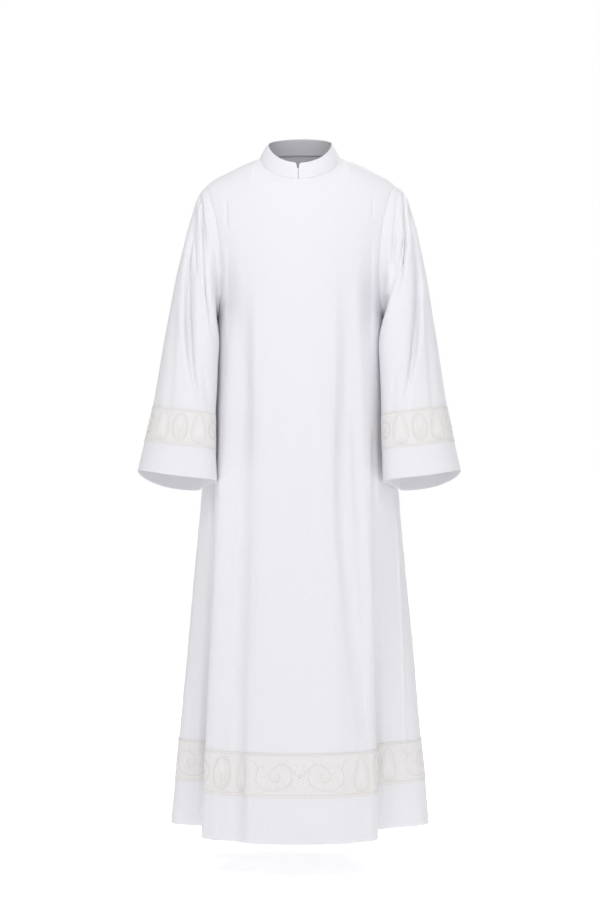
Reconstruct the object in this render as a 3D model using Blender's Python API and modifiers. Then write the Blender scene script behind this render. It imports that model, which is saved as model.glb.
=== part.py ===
"""Alb: a full-length robe with a standing collar and wide sleeves, hollow, as it hangs when worn.

Metres, +Z up.  The front faces -Y and +X is the wearer's left.  The origin is on the robe's axis
at the height of the neck ends of the shoulder seams, where the robe hangs from the wearer.
Heights are given as `down`, the distance below the origin.
"""

import math

import bmesh
import bpy
import numpy as np

# ------------------------------------------------------------------ driving sizes
CLOTH = 0.0020            # wall of the front, back and sleeves
COLLAR_CLOTH = 0.0028     # the collar is doubled
GALLOON = 0.0010          # woven band, sewn on the cloth
SEAM_GAP = 0.0003         # clear space between neighbouring pieces
TURNED_EDGE = 0.00023     # an edge's wall leans this far towards its neighbour over a curve

HEM = 1.4575              # down to the hem
BAND_LOW = 1.3640         # lower edge of the hem band
BAND_HIGH = 1.2740        # upper edge of the hem band
UNDERARM = 0.352          # down to the foot of the armhole

NECK_HALF_WIDTH = 0.087
NECK_FRONT = 0.085        # depth of the neckline in front of the axis
NECK_BACK = 0.075
NECK_FRONT_SLOPE = 0.67   # the neckline dips towards the front
NECK_BACK_SLOPE = 0.16    # and rises a little towards the back
NECK_TURN = 0.012         # softens the change of slope at the shoulder
NECK_ANGLE = 38.0         # the neckline takes this much of the panel each side of its middle

ARMHOLE_FRONT = 0.072     # depth of the armhole in front of the shoulder seam
ARMHOLE_BACK = 0.076
ARMHOLE_TOP_X = 0.203
ARMHOLE_MIDDLE_X = 0.173  # the armhole is cut in at the front and back
ARMHOLE_TOP = 0.058       # down to the shoulder end of the armhole
SHOULDER_TILT = 0.012     # the left shoulder stands a little higher, per metre of width
YOKE_LEAD = 0.115         # how far up the skirt's direction is felt above the underarm
YOKE_LEAN = 0.35          # and the share of its slant that is kept
STEP = 0.01               # height over which the skirt's direction is taken
FOLD_GROWTH = 1.2         # a fold of the body opens slowly at first

SLEEVE_SQUARENESS = 2.25
SLEEVE_JOIN = 0.22        # share of the sleeve over which it takes on the armhole's outline
CUFF_FRONT_LIFT = 0.005   # the cuff's front edge stands higher than its sides
CUFF_BACK_DROP = 0.028    # and its back edge lower
BAND_SHARES = (0.74, 0.87)
CLEAR_OF_BODY = 0.005     # the sleeve's wall hangs this far off the body
CLEAR_FROM = 0.04         # share of the sleeve from which that is so
FOLD_OVER = 0.0013        # room for the cloth to turn at the armhole
FOLD_OVER_SHARE = 0.25    # share of the sleeve that gives that room
FOLD_OVER_DEPTH = 0.8     # how much of it is to the front and back
FOLD_SIDE = 2.5           # a sleeve's fold keeps to its side of the tube, fading at the edge
FOLD_OPENS = 0.45         # share of its length over which it opens
FOLD_CLOSES = 0.40        # and over which it fades away

COLLAR_TOP_HALF_WIDTH = 0.070
COLLAR_TOP_FRONT = 0.071
COLLAR_TOP_BACK = 0.064
COLLAR_TOP_Z = 0.031      # height of the collar's top edge at the sides
COLLAR_FRONT_DIP = 0.050  # the top edge is this much lower at the slit
COLLAR_DIP_CURVE = 1.15
COLLAR_BACK_RISE = 0.0195
SLIT_X = -0.004           # the slit lies a little to the wearer's right
SLIT_WIDTH = 0.0012
CORNER_RADIUS = 0.006     # rounded top corners at the slit
COLLAR_LIFT = 0.0016      # the collar's foot stands this far above the neckline

PANEL_COLUMNS = 48
SKIRT_ROWS = 8            # between the hem band and the underarm
YOKE_ROWS = 9
YOKE_CLOSING = 1.4        # its rows draw together towards the neck and shoulder
SEAM_CLOSING = 1.5        # its columns draw together towards the shoulder's end
SLEEVE_COLUMNS = 36
SLEEVE_ROWS = 10          # between the armhole and the sleeve band
SLEEVE_CLOSING = 1.15     # its rows draw together towards the armhole
COLLAR_COLUMNS = 44
CORNER_COLUMNS = 5        # of these, round each corner at the slit
SHARES_OF_BAND = (0.5,)   # a sewn-on band has one row between its edges

TWILL_COLOUR = (0.90, 0.90, 0.92)
TWILL_ROUGHNESS = 0.75
GALLOON_COLOUR = (0.86, 0.83, 0.78)
GALLOON_ROUGHNESS = 0.6


def table(header, *rows):
    """A small table as one array for each named column."""
    return {name: np.array([row[i] for row in rows]) for i, name in enumerate(header.split())}


# The plan of the body from the arms down: a rounded oval at each height.
BODY = table(
    "down    half_width front  back   squareness",
    (0.352,  0.178,     0.131, 0.124, 2.5),     # under the arms
    (0.460,  0.190,     0.142, 0.134, 2.45),
    (0.580,  0.204,     0.158, 0.147, 2.4),     # waist
    (0.812,  0.224,     0.197, 0.174, 2.3),     # hip
    (1.126,  0.252,     0.247, 0.214, 2.2),     # knee
    (1.4575, 0.2825,    0.300, 0.256, 2.2),     # hem
)

# Folds of the body.  Angles are in plan, 0 at centre front, 90 at the wearer's left side.  A fold
# starts at a height, is full at another, and pushes the cloth `depth` towards `heading`.
BODY_FOLDS = table(
    "start full   angle_top angle_hem reach_low reach_high depth heading",
    (0.42, 1.4575, -68.0,   -58.5,    31.5,     15.0,      0.098, 60.0),    # right side of the front
    (0.42, 1.4575, 61.0,    50.5,     21.0,     39.5,      0.098, 123.0),   # left side of the front
    (0.34, 0.700,  -27.0,   -28.5,    10.0,     9.0,       0.009, 75.0),    # soft, right of centre
    (0.34, 0.620,  21.0,    25.0,     9.0,      9.0,       0.008, 105.0),   # soft, left of centre
    (0.40, 1.4575, 124.0,   133.0,    40.0,     20.0,      0.080, 240.0),   # left side of the back
    (0.40, 1.4575, 238.0,   228.0,    20.0,     40.0,      0.086, 300.0),   # right side of the back
    (0.30, 1.200,  167.0,   165.0,    13.0,     12.0,      0.022, 262.0),   # back, left of centre
    (0.36, 1.300,  191.0,   194.0,    12.0,     14.0,      0.027, 280.0),   # back, right of centre
)

SHOULDER = table(
    "x      down",
    (0.087, 0.0000),
    (0.110, 0.0095),
    (0.155, 0.0305),
    (0.188, 0.0475),
    (0.203, 0.0580),
)

# The points that lead the cloth down from the neckline and the shoulder seam, how far in front of
# the axis and behind it.  `off` runs from the middle of a panel (0) to the shoulder's end (90).
LED_THROUGH = table(
    "off x      front  front_down back   back_down",
    (0,  0.000, 0.119, 0.132,     0.110, 0.032),
    (15, 0.062, 0.118, 0.106,     0.110, 0.029),
    (30, 0.120, 0.113, 0.066,     0.108, 0.026),
    (45, 0.160, 0.106, 0.048,     0.105, 0.028),
    (60, 0.184, 0.100, 0.060,     0.101, 0.040),
    (75, 0.197, 0.095, 0.080,     0.097, 0.058),
    (90, 0.203, 0.090, 0.094,     0.093, 0.072),
)

# Each sleeve: the outer and the inner line of the tube as seen from the front, how far forward
# they lie, and half the tube's depth.  `share` runs from the armhole (0) to the cuff (1).
SLEEVE_HEADER = "share outer_x outer_down inner_x inner_down outer_y inner_y half_depth back_drop"
SLEEVES = {
    "right": table(
        SLEEVE_HEADER,
        (0.00, 0.2030, 0.058, 0.1780, 0.352,  0.000,  0.000, 0.074, 0.0),     # armhole
        (0.04, 0.2180, 0.075, 0.1840, 0.350,  0.000, -0.006, 0.075, 0.0),     # sleeve head
        (0.12, 0.2360, 0.124, 0.1800, 0.372, -0.004, -0.050, 0.078, 0.0),
        (0.25, 0.2540, 0.196, 0.1765, 0.408, -0.014, -0.074, 0.080, 0.1),
        (0.42, 0.2785, 0.315, 0.1785, 0.458, -0.036, -0.084, 0.082, 0.3),     # elbow
        (0.58, 0.2980, 0.430, 0.1800, 0.512, -0.060, -0.094, 0.084, 0.6),
        (0.74, 0.3170, 0.5514, 0.1825, 0.567, -0.084, -0.104, 0.086, 0.9),    # top of the band
        (0.87, 0.3330, 0.627, 0.1820, 0.6445, -0.100, -0.112, 0.087, 1.0),    # foot of the band
        (1.00, 0.3470, 0.689, 0.1785, 0.710, -0.115, -0.120, 0.088, 1.0),     # cuff
    ),
    "left": table(
        SLEEVE_HEADER,
        (0.00, 0.2030, 0.058, 0.1780, 0.352,  0.000,  0.000, 0.074, 0.0),
        (0.04, 0.2245, 0.074, 0.1840, 0.350,  0.000, -0.006, 0.075, 0.0),
        (0.12, 0.2470, 0.129, 0.1780, 0.372, -0.004, -0.050, 0.078, 0.0),
        (0.25, 0.2640, 0.202, 0.1720, 0.408, -0.014, -0.076, 0.080, 0.1),
        (0.42, 0.2835, 0.318, 0.1730, 0.458, -0.036, -0.086, 0.082, 0.3),
        (0.58, 0.3005, 0.434, 0.1750, 0.512, -0.060, -0.096, 0.084, 0.6),
        (0.74, 0.3170, 0.5514, 0.1760, 0.567, -0.084, -0.106, 0.086, 0.9),
        (0.87, 0.3310, 0.627, 0.1770, 0.6445, -0.100, -0.114, 0.087, 1.0),
        (1.00, 0.3440, 0.689, 0.1785, 0.710, -0.115, -0.120, 0.088, 1.0),
    ),
}
# Folds of the sleeves: troughs seen from the front, x outwards from the axis, bent at half length.
SLEEVE_FOLD_HEADER = "face top_x top_down bend_x end_x end_down half_width depth"
SLEEVE_FOLDS = {
    "right": table(
        SLEEVE_FOLD_HEADER,
        (-1, 0.222, 0.115, 0.240, 0.214, 0.530, 0.020, 0.011),   # long, front
        (-1, 0.207, 0.100, 0.203, 0.186, 0.300, 0.014, 0.006),   # under the shoulder, front
        (+1, 0.224, 0.140, 0.246, 0.238, 0.520, 0.022, 0.012),   # long, back
        (+1, 0.206, 0.130, 0.205, 0.196, 0.360, 0.016, 0.007),   # behind the shoulder
    ),
    "left": table(
        SLEEVE_FOLD_HEADER,
        (-1, 0.240, 0.110, 0.256, 0.216, 0.520, 0.020, 0.011),
        (-1, 0.212, 0.095, 0.206, 0.182, 0.320, 0.014, 0.006),
        (+1, 0.232, 0.130, 0.250, 0.232, 0.540, 0.022, 0.012),
        (+1, 0.208, 0.120, 0.204, 0.192, 0.350, 0.016, 0.007),
    ),
}


# ------------------------------------------------------------------ small helpers
def read(rows, key, name, at):
    """A table's column on a smooth curve through its rows, where its rising column `key` is `at`."""
    xs, ys = rows[key], rows[name]
    slopes = np.gradient(ys, xs)
    i = np.clip(np.searchsorted(xs, at) - 1, 0, len(xs) - 2)
    step = xs[i + 1] - xs[i]
    u = np.clip((at - xs[i]) / step, 0.0, 1.0)
    start = (2 * u**3 - 3 * u**2 + 1) * ys[i] + (u**3 - 2 * u**2 + u) * step * slopes[i]
    end = (3 * u**2 - 2 * u**3) * ys[i + 1] + (u**3 - u**2) * step * slopes[i + 1]
    return start + end


def ease(t):
    t = np.clip(t, 0.0, 1.0)
    return t * t * (3 - 2 * t)


def rounded(value, squareness):
    """A sine or cosine reshaped for an oval of the given squareness."""
    return np.sign(value) * np.abs(value) ** (2 / squareness)


def bump(distance, reach):
    """1 at the middle, falling softly to 0 at the reach."""
    return 0.5 + 0.5 * np.cos(np.pi * np.clip(distance / reach, -1.0, 1.0))


def rows_of(rows):
    """The rows of a table, one dictionary each."""
    count = len(next(iter(rows.values())))
    return [{name: column[i] for name, column in rows.items()} for i in range(count)]


# ------------------------------------------------------------------ body
def oval(angle, down):
    """The body's plan with no folds, at angles in degrees."""
    squareness = read(BODY, "down", "squareness", down)
    across = rounded(np.sin(np.radians(angle)), squareness)
    ahead = rounded(np.cos(np.radians(angle)), squareness)
    depth = np.where(ahead > 0, read(BODY, "down", "front", down), read(BODY, "down", "back", down))
    return np.stack([read(BODY, "down", "half_width", down) * across, -depth * ahead], axis=-1)


def body_point(angle, down):
    """A point of the skirt and waist, folds included."""
    plan = oval(angle, down)
    for fold in rows_of(BODY_FOLDS):
        ripe = np.clip((down - fold["start"]) / (fold["full"] - fold["start"]), 0.0, 1.0)
        fall = np.clip((down - fold["start"]) / (HEM - fold["start"]), 0.0, 1.0)
        middle = fold["angle_top"] + (fold["angle_hem"] - fold["angle_top"]) * fall
        off = (angle - middle + 180.0) % 360.0 - 180.0
        reach = np.where(off < 0, fold["reach_low"], fold["reach_high"])
        push = fold["depth"] * ripe**FOLD_GROWTH * bump(off, reach)
        heading = math.radians(fold["heading"])
        plan = plan + push[..., None] * np.array([math.cos(heading), math.sin(heading)])
    return np.concatenate([plan, -down[..., None]], axis=-1)


def neck_height(y):
    """Height of the neckline at a distance behind the axis."""
    ahead = 0.5 * (-y + np.sqrt(y * y + NECK_TURN**2)) - 0.5 * NECK_TURN
    return NECK_BACK_SLOPE * np.maximum(y, -NECK_FRONT) - (NECK_FRONT_SLOPE - NECK_BACK_SLOPE) * ahead


def neckline(angle):
    """The neckline at a plan angle, 0 at centre front."""
    turn = np.radians(angle)
    depth = np.where(np.cos(turn) > 0, NECK_FRONT, NECK_BACK)
    x = NECK_HALF_WIDTH * np.sin(turn)
    y = -depth * np.cos(turn)
    return np.stack([x, y, neck_height(y)], axis=-1)


def armhole(turn):
    """The armhole of the wearer's left side: 0 at the shoulder, 90 in front, 180 at its foot."""
    t = np.radians(turn)
    bottom_x = BODY["half_width"][0]
    middle = 0.5 * (ARMHOLE_TOP_X + bottom_x)
    spread = 0.5 * (middle - ARMHOLE_MIDDLE_X)
    x = middle - spread + 0.5 * (ARMHOLE_TOP_X - bottom_x) * np.cos(t) + spread * np.cos(2 * t)
    y = -np.where(np.sin(t) > 0, ARMHOLE_FRONT, ARMHOLE_BACK) * np.sin(t)
    half = 0.5 * (UNDERARM - ARMHOLE_TOP)
    z = -(ARMHOLE_TOP + half) + half * np.cos(t)
    return np.stack([x, y, z], axis=-1)


def cubic(a, b, c, d, r):
    """A cubic curve from a to d with handles b and c."""
    r = r[..., None]
    return (1 - r) ** 3 * a + 3 * (1 - r) ** 2 * r * b + 3 * (1 - r) * r**2 * c + r**3 * d


def top_edge(face, off):
    """The panel's upper edge, neckline then shoulder seam, and the point that leads its cloth."""
    at_neck = np.clip(off / NECK_ANGLE, 0.0, 1.0)
    neck = neckline(90.0 + face * 90.0 * (1.0 - at_neck))
    share = np.clip((off - NECK_ANGLE) / (90.0 - NECK_ANGLE), 0.0, 1.0)
    out = 1.0 - (1.0 - share) ** SEAM_CLOSING
    x = NECK_HALF_WIDTH + (ARMHOLE_TOP_X - NECK_HALF_WIDTH) * out
    seam = np.stack([x, 0 * x, -read(SHOULDER, "x", "down", x)], axis=-1)
    edge = np.where((off <= NECK_ANGLE)[..., None], neck, seam)
    side = "front" if face < 0 else "back"
    led = np.stack(
        [
            read(LED_THROUGH, "off", "x", off),
            face * read(LED_THROUGH, "off", side, off),
            -read(LED_THROUGH, "off", f"{side}_down", off),
        ],
        axis=-1,
    )
    return edge, led


def yoke_curve(face, off, rise):
    """A column of the panel above the underarm: rise 0 at the underarm, 1 at the upper edge."""
    cut_in = (ARMHOLE_FRONT if face < 0 else ARMHOLE_BACK) * np.sin(np.pi * np.minimum(rise, 0.5))
    depth = BODY["front" if face < 0 else "back"][0]
    widest = np.degrees(np.arccos((cut_in / depth) ** (0.5 * BODY["squareness"][0])))
    angle = off * widest / 90.0
    angle = angle if face < 0 else 180.0 - angle
    foot = body_point(angle, np.full_like(off, UNDERARM))
    below = body_point(angle, np.full_like(off, UNDERARM + STEP))
    lead = (foot - below) * np.array([1.0, YOKE_LEAN, 1.0]) * YOKE_LEAD / STEP
    edge, led = top_edge(face, off)
    return cubic(foot, foot + lead, led, edge, rise)


def yoke_point(face, turn, rise):
    """A point of the panel above the underarm, its outermost column on the armhole."""
    off = np.abs(turn)
    rim = armhole(180.0 + face * 180.0 * rise)
    point = yoke_curve(face, off, rise)
    short = rim - yoke_curve(face, np.full_like(off, 90.0), rise)
    point = point + short * ease(off / 90.0)[..., None]
    point[..., 0] *= np.sign(turn)
    point[..., 2] += SHOULDER_TILT * point[..., 0] * rise
    return point


def panel_grid(face):
    """The front (face -1) or back (face +1) as rows of points from the hem up."""
    turn = np.linspace(-90.0, 90.0, PANEL_COLUMNS + 1)
    band = [BAND_LOW + (BAND_HIGH - BAND_LOW) * share for share in (0.0, *SHARES_OF_BAND, 1.0)]
    skirt = np.linspace(BAND_HIGH, UNDERARM, SKIRT_ROWS + 1)[1:]
    rows = []
    for down in [HEM, *band, *skirt]:
        angle = turn if face < 0 else 180.0 - turn
        rows.append(body_point(angle, np.full_like(turn, down)))
    for rise in 1.0 - np.linspace(1.0, 0.0, YOKE_ROWS + 1)[1:] ** YOKE_CLOSING:
        rows.append(yoke_point(face, turn, np.full_like(turn, rise)))
    grid = np.array(rows)
    grid[..., 1] += face * (0.5 * SEAM_GAP + TURNED_EDGE)
    return grid if face < 0 else grid[:, ::-1]


# ------------------------------------------------------------------ sleeves
def clear_of_body(points, share):
    """Moves points of a sleeve that would lie in the body's oval out of it, along the plan radius."""
    down = np.clip(-points[..., 2], BODY["down"][0], HEM)
    squareness = read(BODY, "down", "squareness", down)
    depth = np.where(
        points[..., 1] < 0, read(BODY, "down", "front", down), read(BODY, "down", "back", down)
    )
    width = read(BODY, "down", "half_width", down)
    reach = (
        np.abs(points[..., 0] / (width + CLEAR_OF_BODY)) ** squareness
        + np.abs(points[..., 1] / (depth + CLEAR_OF_BODY)) ** squareness
    ) ** (1 / squareness)
    factor = 1.0 + ease(share / CLEAR_FROM) * np.maximum(0.0, 1.0 / reach - 1.0)
    moved = points.copy()
    moved[..., :2] *= factor[..., None]
    return moved


def sleeve_frame(rows, share):
    """Middle, outward and forward half-axes of the sleeve's rings."""
    def col(name):
        return read(rows, "share", name, share)

    outer = np.stack([col("outer_x"), col("outer_y"), -col("outer_down")], axis=-1)
    inner = np.stack([col("inner_x"), col("inner_y"), -col("inner_down")], axis=-1)
    return 0.5 * (outer + inner), 0.5 * (outer - inner), col("half_depth"), col("back_drop")


def ring_point(rows, share, turn):
    """The sleeve's tube with no folds: turn 0 outside, 90 in front, 180 inside."""
    middle, half, depth, drop = sleeve_frame(rows, share)
    c = rounded(np.cos(np.radians(turn)), SLEEVE_SQUARENESS)
    s = rounded(np.sin(np.radians(turn)), SLEEVE_SQUARENESS)
    point = middle + half * c[..., None]
    point[..., 1] -= depth * s
    lift = 0.5 * (CUFF_FRONT_LIFT + CUFF_BACK_DROP) * s
    point[..., 2] += drop * (lift + 0.5 * (CUFF_FRONT_LIFT - CUFF_BACK_DROP) * s * s)
    return point


def sleeve_points(hand, share, turn):
    """Points of a sleeve, on the wearer's left, with its join to the armhole and its folds."""
    rows = SLEEVES[hand]
    point = ring_point(rows, share, turn)
    join = (1.0 - ease(share / SLEEVE_JOIN))[..., None]
    tilt = SHOULDER_TILT * ARMHOLE_TOP_X * (1 if hand == "left" else -1)
    rise = 1.0 - np.minimum(turn, 360.0 - turn) / 180.0
    point = point + join * (armhole(turn) - ring_point(rows, 0 * share, turn))
    point[..., 2] += join[..., 0] * tilt * rise
    point = clear_of_body(point, share)
    inward = ring_point(rows, share, turn) - sleeve_frame(rows, share)[0]
    inward = -inward / np.linalg.norm(inward, axis=-1, keepdims=True)
    for fold in rows_of(SLEEVE_FOLDS[hand]):
        length = fold["end_down"] - fold["top_down"]
        u = (-point[..., 2] - fold["top_down"]) / length
        inside = np.clip(u, 0.0, 1.0)
        bend = 4 * inside * (1 - inside)
        line = fold["top_x"] + (fold["end_x"] - fold["top_x"]) * inside
        line = line + bend * (fold["bend_x"] - 0.5 * (fold["top_x"] + fold["end_x"]))
        facing = np.clip(-fold["face"] * np.sin(np.radians(turn)) * FOLD_SIDE, 0.0, 1.0)
        along = ease(u / FOLD_OPENS) * ease((1 - u) / FOLD_CLOSES)
        push = fold["depth"] * along * facing * bump(point[..., 0] - line, fold["half_width"])
        point = point + push[..., None] * inward
    return point


def sleeve_grid(hand):
    """A sleeve as rings of points from the armhole to the cuff, each ring closed."""
    high, low = BAND_SHARES
    arm = high * (np.arange(SLEEVE_ROWS + 1) / SLEEVE_ROWS) ** SLEEVE_CLOSING
    band = [high + (low - high) * share for share in (*SHARES_OF_BAND, 1.0)]
    shares = np.array([*arm, *band, 0.5 * (low + 1.0), 1.0])
    turn = np.arange(SLEEVE_COLUMNS) * 360.0 / SLEEVE_COLUMNS
    share, turn = np.meshgrid(shares, turn, indexing="ij")
    grid = sleeve_points(hand, share, turn)
    under = ease((np.minimum(turn, 360.0 - turn) - 60.0) / 40.0)
    room = (SEAM_GAP + FOLD_OVER * (1 + under)) * (1 - ease(share / FOLD_OVER_SHARE))
    grid[..., 0] += room
    grid[..., 1] -= room * FOLD_OVER_DEPTH * np.sin(np.radians(turn))
    if hand == "right":
        grid = grid[:, ::-1]
        grid[..., 0] *= -1
    return grid


# ------------------------------------------------------------------ collar
def collar_top(angle):
    """The collar's upper edge."""
    turn = np.radians(angle)
    ahead = np.cos(turn)
    depth = np.where(ahead > 0, COLLAR_TOP_FRONT, COLLAR_TOP_BACK)
    x = COLLAR_TOP_HALF_WIDTH * np.sin(turn)
    dip = np.where(
        ahead > 0, -COLLAR_FRONT_DIP * np.abs(ahead) ** COLLAR_DIP_CURVE, -COLLAR_BACK_RISE * ahead
    )
    return np.stack([x, -depth * ahead, COLLAR_TOP_Z + dip], axis=-1)


def collar_grid():
    """The collar as rows of points from its foot up, open at the slit."""
    slit = math.degrees(math.asin(SLIT_X / NECK_HALF_WIDTH))
    half = math.degrees(0.5 * SLIT_WIDTH / COLLAR_TOP_FRONT)
    corner = math.degrees(CORNER_RADIUS / COLLAR_TOP_FRONT)
    near = corner * (1 - np.cos(np.linspace(0, math.pi / 2, CORNER_COLUMNS + 1)))
    span = 360.0 - 2 * half
    middle = np.linspace(corner, span - corner, COLLAR_COLUMNS - 2 * CORNER_COLUMNS + 1)
    along = np.concatenate([near[:-1], middle, span - near[:-1][::-1]])
    angle = slit + half + along
    end = np.minimum(along, span - along) / corner
    corner_drop = CORNER_RADIUS * (1 - np.sqrt(1 - (1 - np.clip(end, 0, 1)) ** 2))
    foot = neckline(angle)
    top = collar_top(angle)
    height = np.linalg.norm(top - foot, axis=-1)
    up = (top - foot) / height[:, None]
    rows = []
    for share in (0.0, 0.5, 1.0):
        rise = COLLAR_LIFT + (height - COLLAR_LIFT - corner_drop) * share
        rows.append(foot + up * rise[:, None])
    grid = np.array(rows)
    grid[..., 2] += SHOULDER_TILT * grid[..., 0]
    return grid


# ------------------------------------------------------------------ meshes
def cloth_mesh(name, grid, closed):
    """A triangulated sheet through a grid of points.  A closed grid is joined round to its start."""
    rows, columns = grid.shape[:2]
    faces = []
    for r in range(rows - 1):
        low = r * columns
        high = low + columns
        for c in range(columns if closed else columns - 1):
            d = (c + 1) % columns
            faces.append((low + c, low + d, high + d, high + c))
    mesh = bpy.data.meshes.new(name)
    mesh.from_pydata(grid.reshape(-1, 3).tolist(), [], faces)
    sheet = bmesh.new()
    sheet.from_mesh(mesh)
    bmesh.ops.triangulate(sheet, faces=sheet.faces[:], quad_method="FIXED")
    sheet.to_mesh(mesh)
    sheet.free()
    mesh.shade_smooth()
    return mesh


def grid_normals(name, grid, closed):
    """The sheet's outward direction at each point of its grid."""
    mesh = cloth_mesh(name, grid, closed)
    normals = np.array([vertex.normal[:] for vertex in mesh.vertices]).reshape(grid.shape)
    bpy.data.meshes.remove(mesh)
    return normals


def material(name, colour, roughness):
    finish = bpy.data.materials.new(name)
    finish.use_nodes = True
    shader = finish.node_tree.nodes["Principled BSDF"]
    shader.inputs["Base Color"].default_value = (*colour, 1.0)
    shader.inputs["Roughness"].default_value = roughness
    shader.inputs["Metallic"].default_value = 0.0
    return finish


def cloth_piece(collection, name, grid, closed, wall):
    """One cut piece of twill, its wall centred on the grid."""
    piece = bpy.data.objects.new(name, cloth_mesh(name, grid, closed))
    collection.objects.link(piece)
    thickness = piece.modifiers.new("wall", "SOLIDIFY")
    thickness.thickness = wall
    thickness.offset = 0.0
    piece.data.materials.append(material(name, TWILL_COLOUR, TWILL_ROUGHNESS))
    return piece


def band_piece(collection, name, grid, closed, rows):
    """A band of galloon laid along some rows of a twill piece's grid, on its outer side."""
    out = 0.5 * CLOTH + SEAM_GAP + 0.5 * GALLOON
    laid = grid[rows] + grid_normals(name, grid, closed)[rows] * out
    piece = cloth_piece(collection, name, laid, closed, GALLOON)
    piece.data.materials[0] = material(name, GALLOON_COLOUR, GALLOON_ROUGHNESS)
    return piece


def build():
    for old in list(bpy.data.objects):
        bpy.data.objects.remove(old, do_unlink=True)
    robe = bpy.data.collections.new("alb_robe")
    bpy.context.scene.collection.children.link(robe)

    for name, face in (("front", -1), ("back", +1)):
        grid = panel_grid(face)
        cloth_piece(robe, name, grid, False, CLOTH)
        band_piece(robe, f"band_hem_{name}", grid, False, slice(1, 3 + len(SHARES_OF_BAND)))

    for hand in ("right", "left"):
        grid = sleeve_grid(hand)
        rows = slice(SLEEVE_ROWS, SLEEVE_ROWS + 2 + len(SHARES_OF_BAND))
        cloth_piece(robe, f"sleeve_{hand}", grid, True, CLOTH)
        band_piece(robe, f"band_sleeve_{hand}", grid, True, rows)

    cloth_piece(robe, "collar", collar_grid(), False, COLLAR_CLOTH)


build()
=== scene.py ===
"""The alb as it is sewn: thin cloth with its creases, seams and figured bands, on the CAD frame."""
import math

import bpy
import numpy as np
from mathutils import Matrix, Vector


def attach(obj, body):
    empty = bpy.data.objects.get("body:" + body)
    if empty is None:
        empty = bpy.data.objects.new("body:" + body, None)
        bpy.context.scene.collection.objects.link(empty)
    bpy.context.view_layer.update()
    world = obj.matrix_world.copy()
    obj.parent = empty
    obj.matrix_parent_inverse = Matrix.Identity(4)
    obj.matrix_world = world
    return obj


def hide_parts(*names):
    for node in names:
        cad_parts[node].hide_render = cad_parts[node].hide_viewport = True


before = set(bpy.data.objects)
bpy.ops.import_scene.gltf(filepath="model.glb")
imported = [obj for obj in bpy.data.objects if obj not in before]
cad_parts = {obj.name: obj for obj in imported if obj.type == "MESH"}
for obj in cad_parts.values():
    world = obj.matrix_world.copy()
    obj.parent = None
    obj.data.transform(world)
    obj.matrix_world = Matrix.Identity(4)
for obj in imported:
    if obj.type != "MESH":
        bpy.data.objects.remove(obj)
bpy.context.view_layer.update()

# ------------------------------ driving sizes
SEAM_GAP = 0.0003         # clear space between neighbouring pieces
TURNED_EDGE = 0.00023     # an edge's wall leans this far towards its neighbour over a curve

HEM = 1.4575              # down to the hem
BAND_LOW = 1.3640         # lower edge of the hem band
BAND_HIGH = 1.2740        # upper edge of the hem band
UNDERARM = 0.352          # down to the foot of the armhole

NECK_HALF_WIDTH = 0.087
NECK_FRONT = 0.085        # depth of the neckline in front of the axis
NECK_BACK = 0.075
NECK_FRONT_SLOPE = 0.67   # the neckline dips towards the front
NECK_BACK_SLOPE = 0.16    # and rises a little towards the back
NECK_TURN = 0.012         # softens the change of slope at the shoulder
NECK_ANGLE = 38.0         # the neckline takes this much of the panel each side of its middle

ARMHOLE_FRONT = 0.072     # depth of the armhole in front of the shoulder seam
ARMHOLE_BACK = 0.076
ARMHOLE_TOP_X = 0.203
ARMHOLE_MIDDLE_X = 0.173  # the armhole is cut in at the front and back
ARMHOLE_TOP = 0.058       # down to the shoulder end of the armhole
SHOULDER_TILT = 0.012     # the left shoulder stands a little higher, per metre of width
YOKE_LEAD = 0.115         # how far up the skirt's direction is felt above the underarm
YOKE_LEAN = 0.35          # and the share of its slant that is kept
STEP = 0.01               # height over which the skirt's direction is taken
FOLD_GROWTH = 1.2         # a fold of the body opens slowly at first

SLEEVE_SQUARENESS = 2.25
SLEEVE_JOIN = 0.22        # share of the sleeve over which it takes on the armhole's outline
CUFF_FRONT_LIFT = 0.005   # the cuff's front edge stands higher than its sides
CUFF_BACK_DROP = 0.028    # and its back edge lower
BAND_SHARES = (0.74, 0.87)
CLEAR_OF_BODY = 0.005     # the sleeve's wall hangs this far off the body
CLEAR_FROM = 0.04         # share of the sleeve from which that is so
FOLD_OVER_SHARE = 0.25    # share of the sleeve that gives room for the cloth to turn at the armhole
FOLD_OVER_DEPTH = 0.8     # how much of it is to the front and back
FOLD_SIDE = 2.5           # a sleeve's fold keeps to its side of the tube, fading at the edge
FOLD_OPENS = 0.45         # share of its length over which it opens
FOLD_CLOSES = 0.40        # and over which it fades away

COLLAR_TOP_HALF_WIDTH = 0.070
COLLAR_TOP_FRONT = 0.071
COLLAR_TOP_BACK = 0.064
COLLAR_TOP_Z = 0.031      # height of the collar's top edge at the sides
COLLAR_FRONT_DIP = 0.050  # the top edge is this much lower at the slit
COLLAR_DIP_CURVE = 1.15
COLLAR_BACK_RISE = 0.0195
SLIT_X = -0.004           # the slit lies a little to the wearer's right
SLIT_WIDTH = 0.0012
CORNER_RADIUS = 0.006     # rounded top corners at the slit

SEAM_CLOSING = 1.5        # a panel's columns draw together towards the shoulder's end


def table(header, *rows):
    """A small table as one array for each named column."""
    return {name: np.array([row[i] for row in rows]) for i, name in enumerate(header.split())}


# The plan of the body from the arms down: a rounded oval at each height.
BODY = table(
    "down    half_width front  back   squareness",
    (0.352,  0.178,     0.131, 0.124, 2.5),     # under the arms
    (0.460,  0.190,     0.142, 0.134, 2.45),
    (0.580,  0.204,     0.158, 0.147, 2.4),     # waist
    (0.812,  0.224,     0.197, 0.174, 2.3),     # hip
    (1.126,  0.252,     0.247, 0.214, 2.2),     # knee
    (1.4575, 0.2825,    0.300, 0.256, 2.2),     # hem
)

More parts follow.
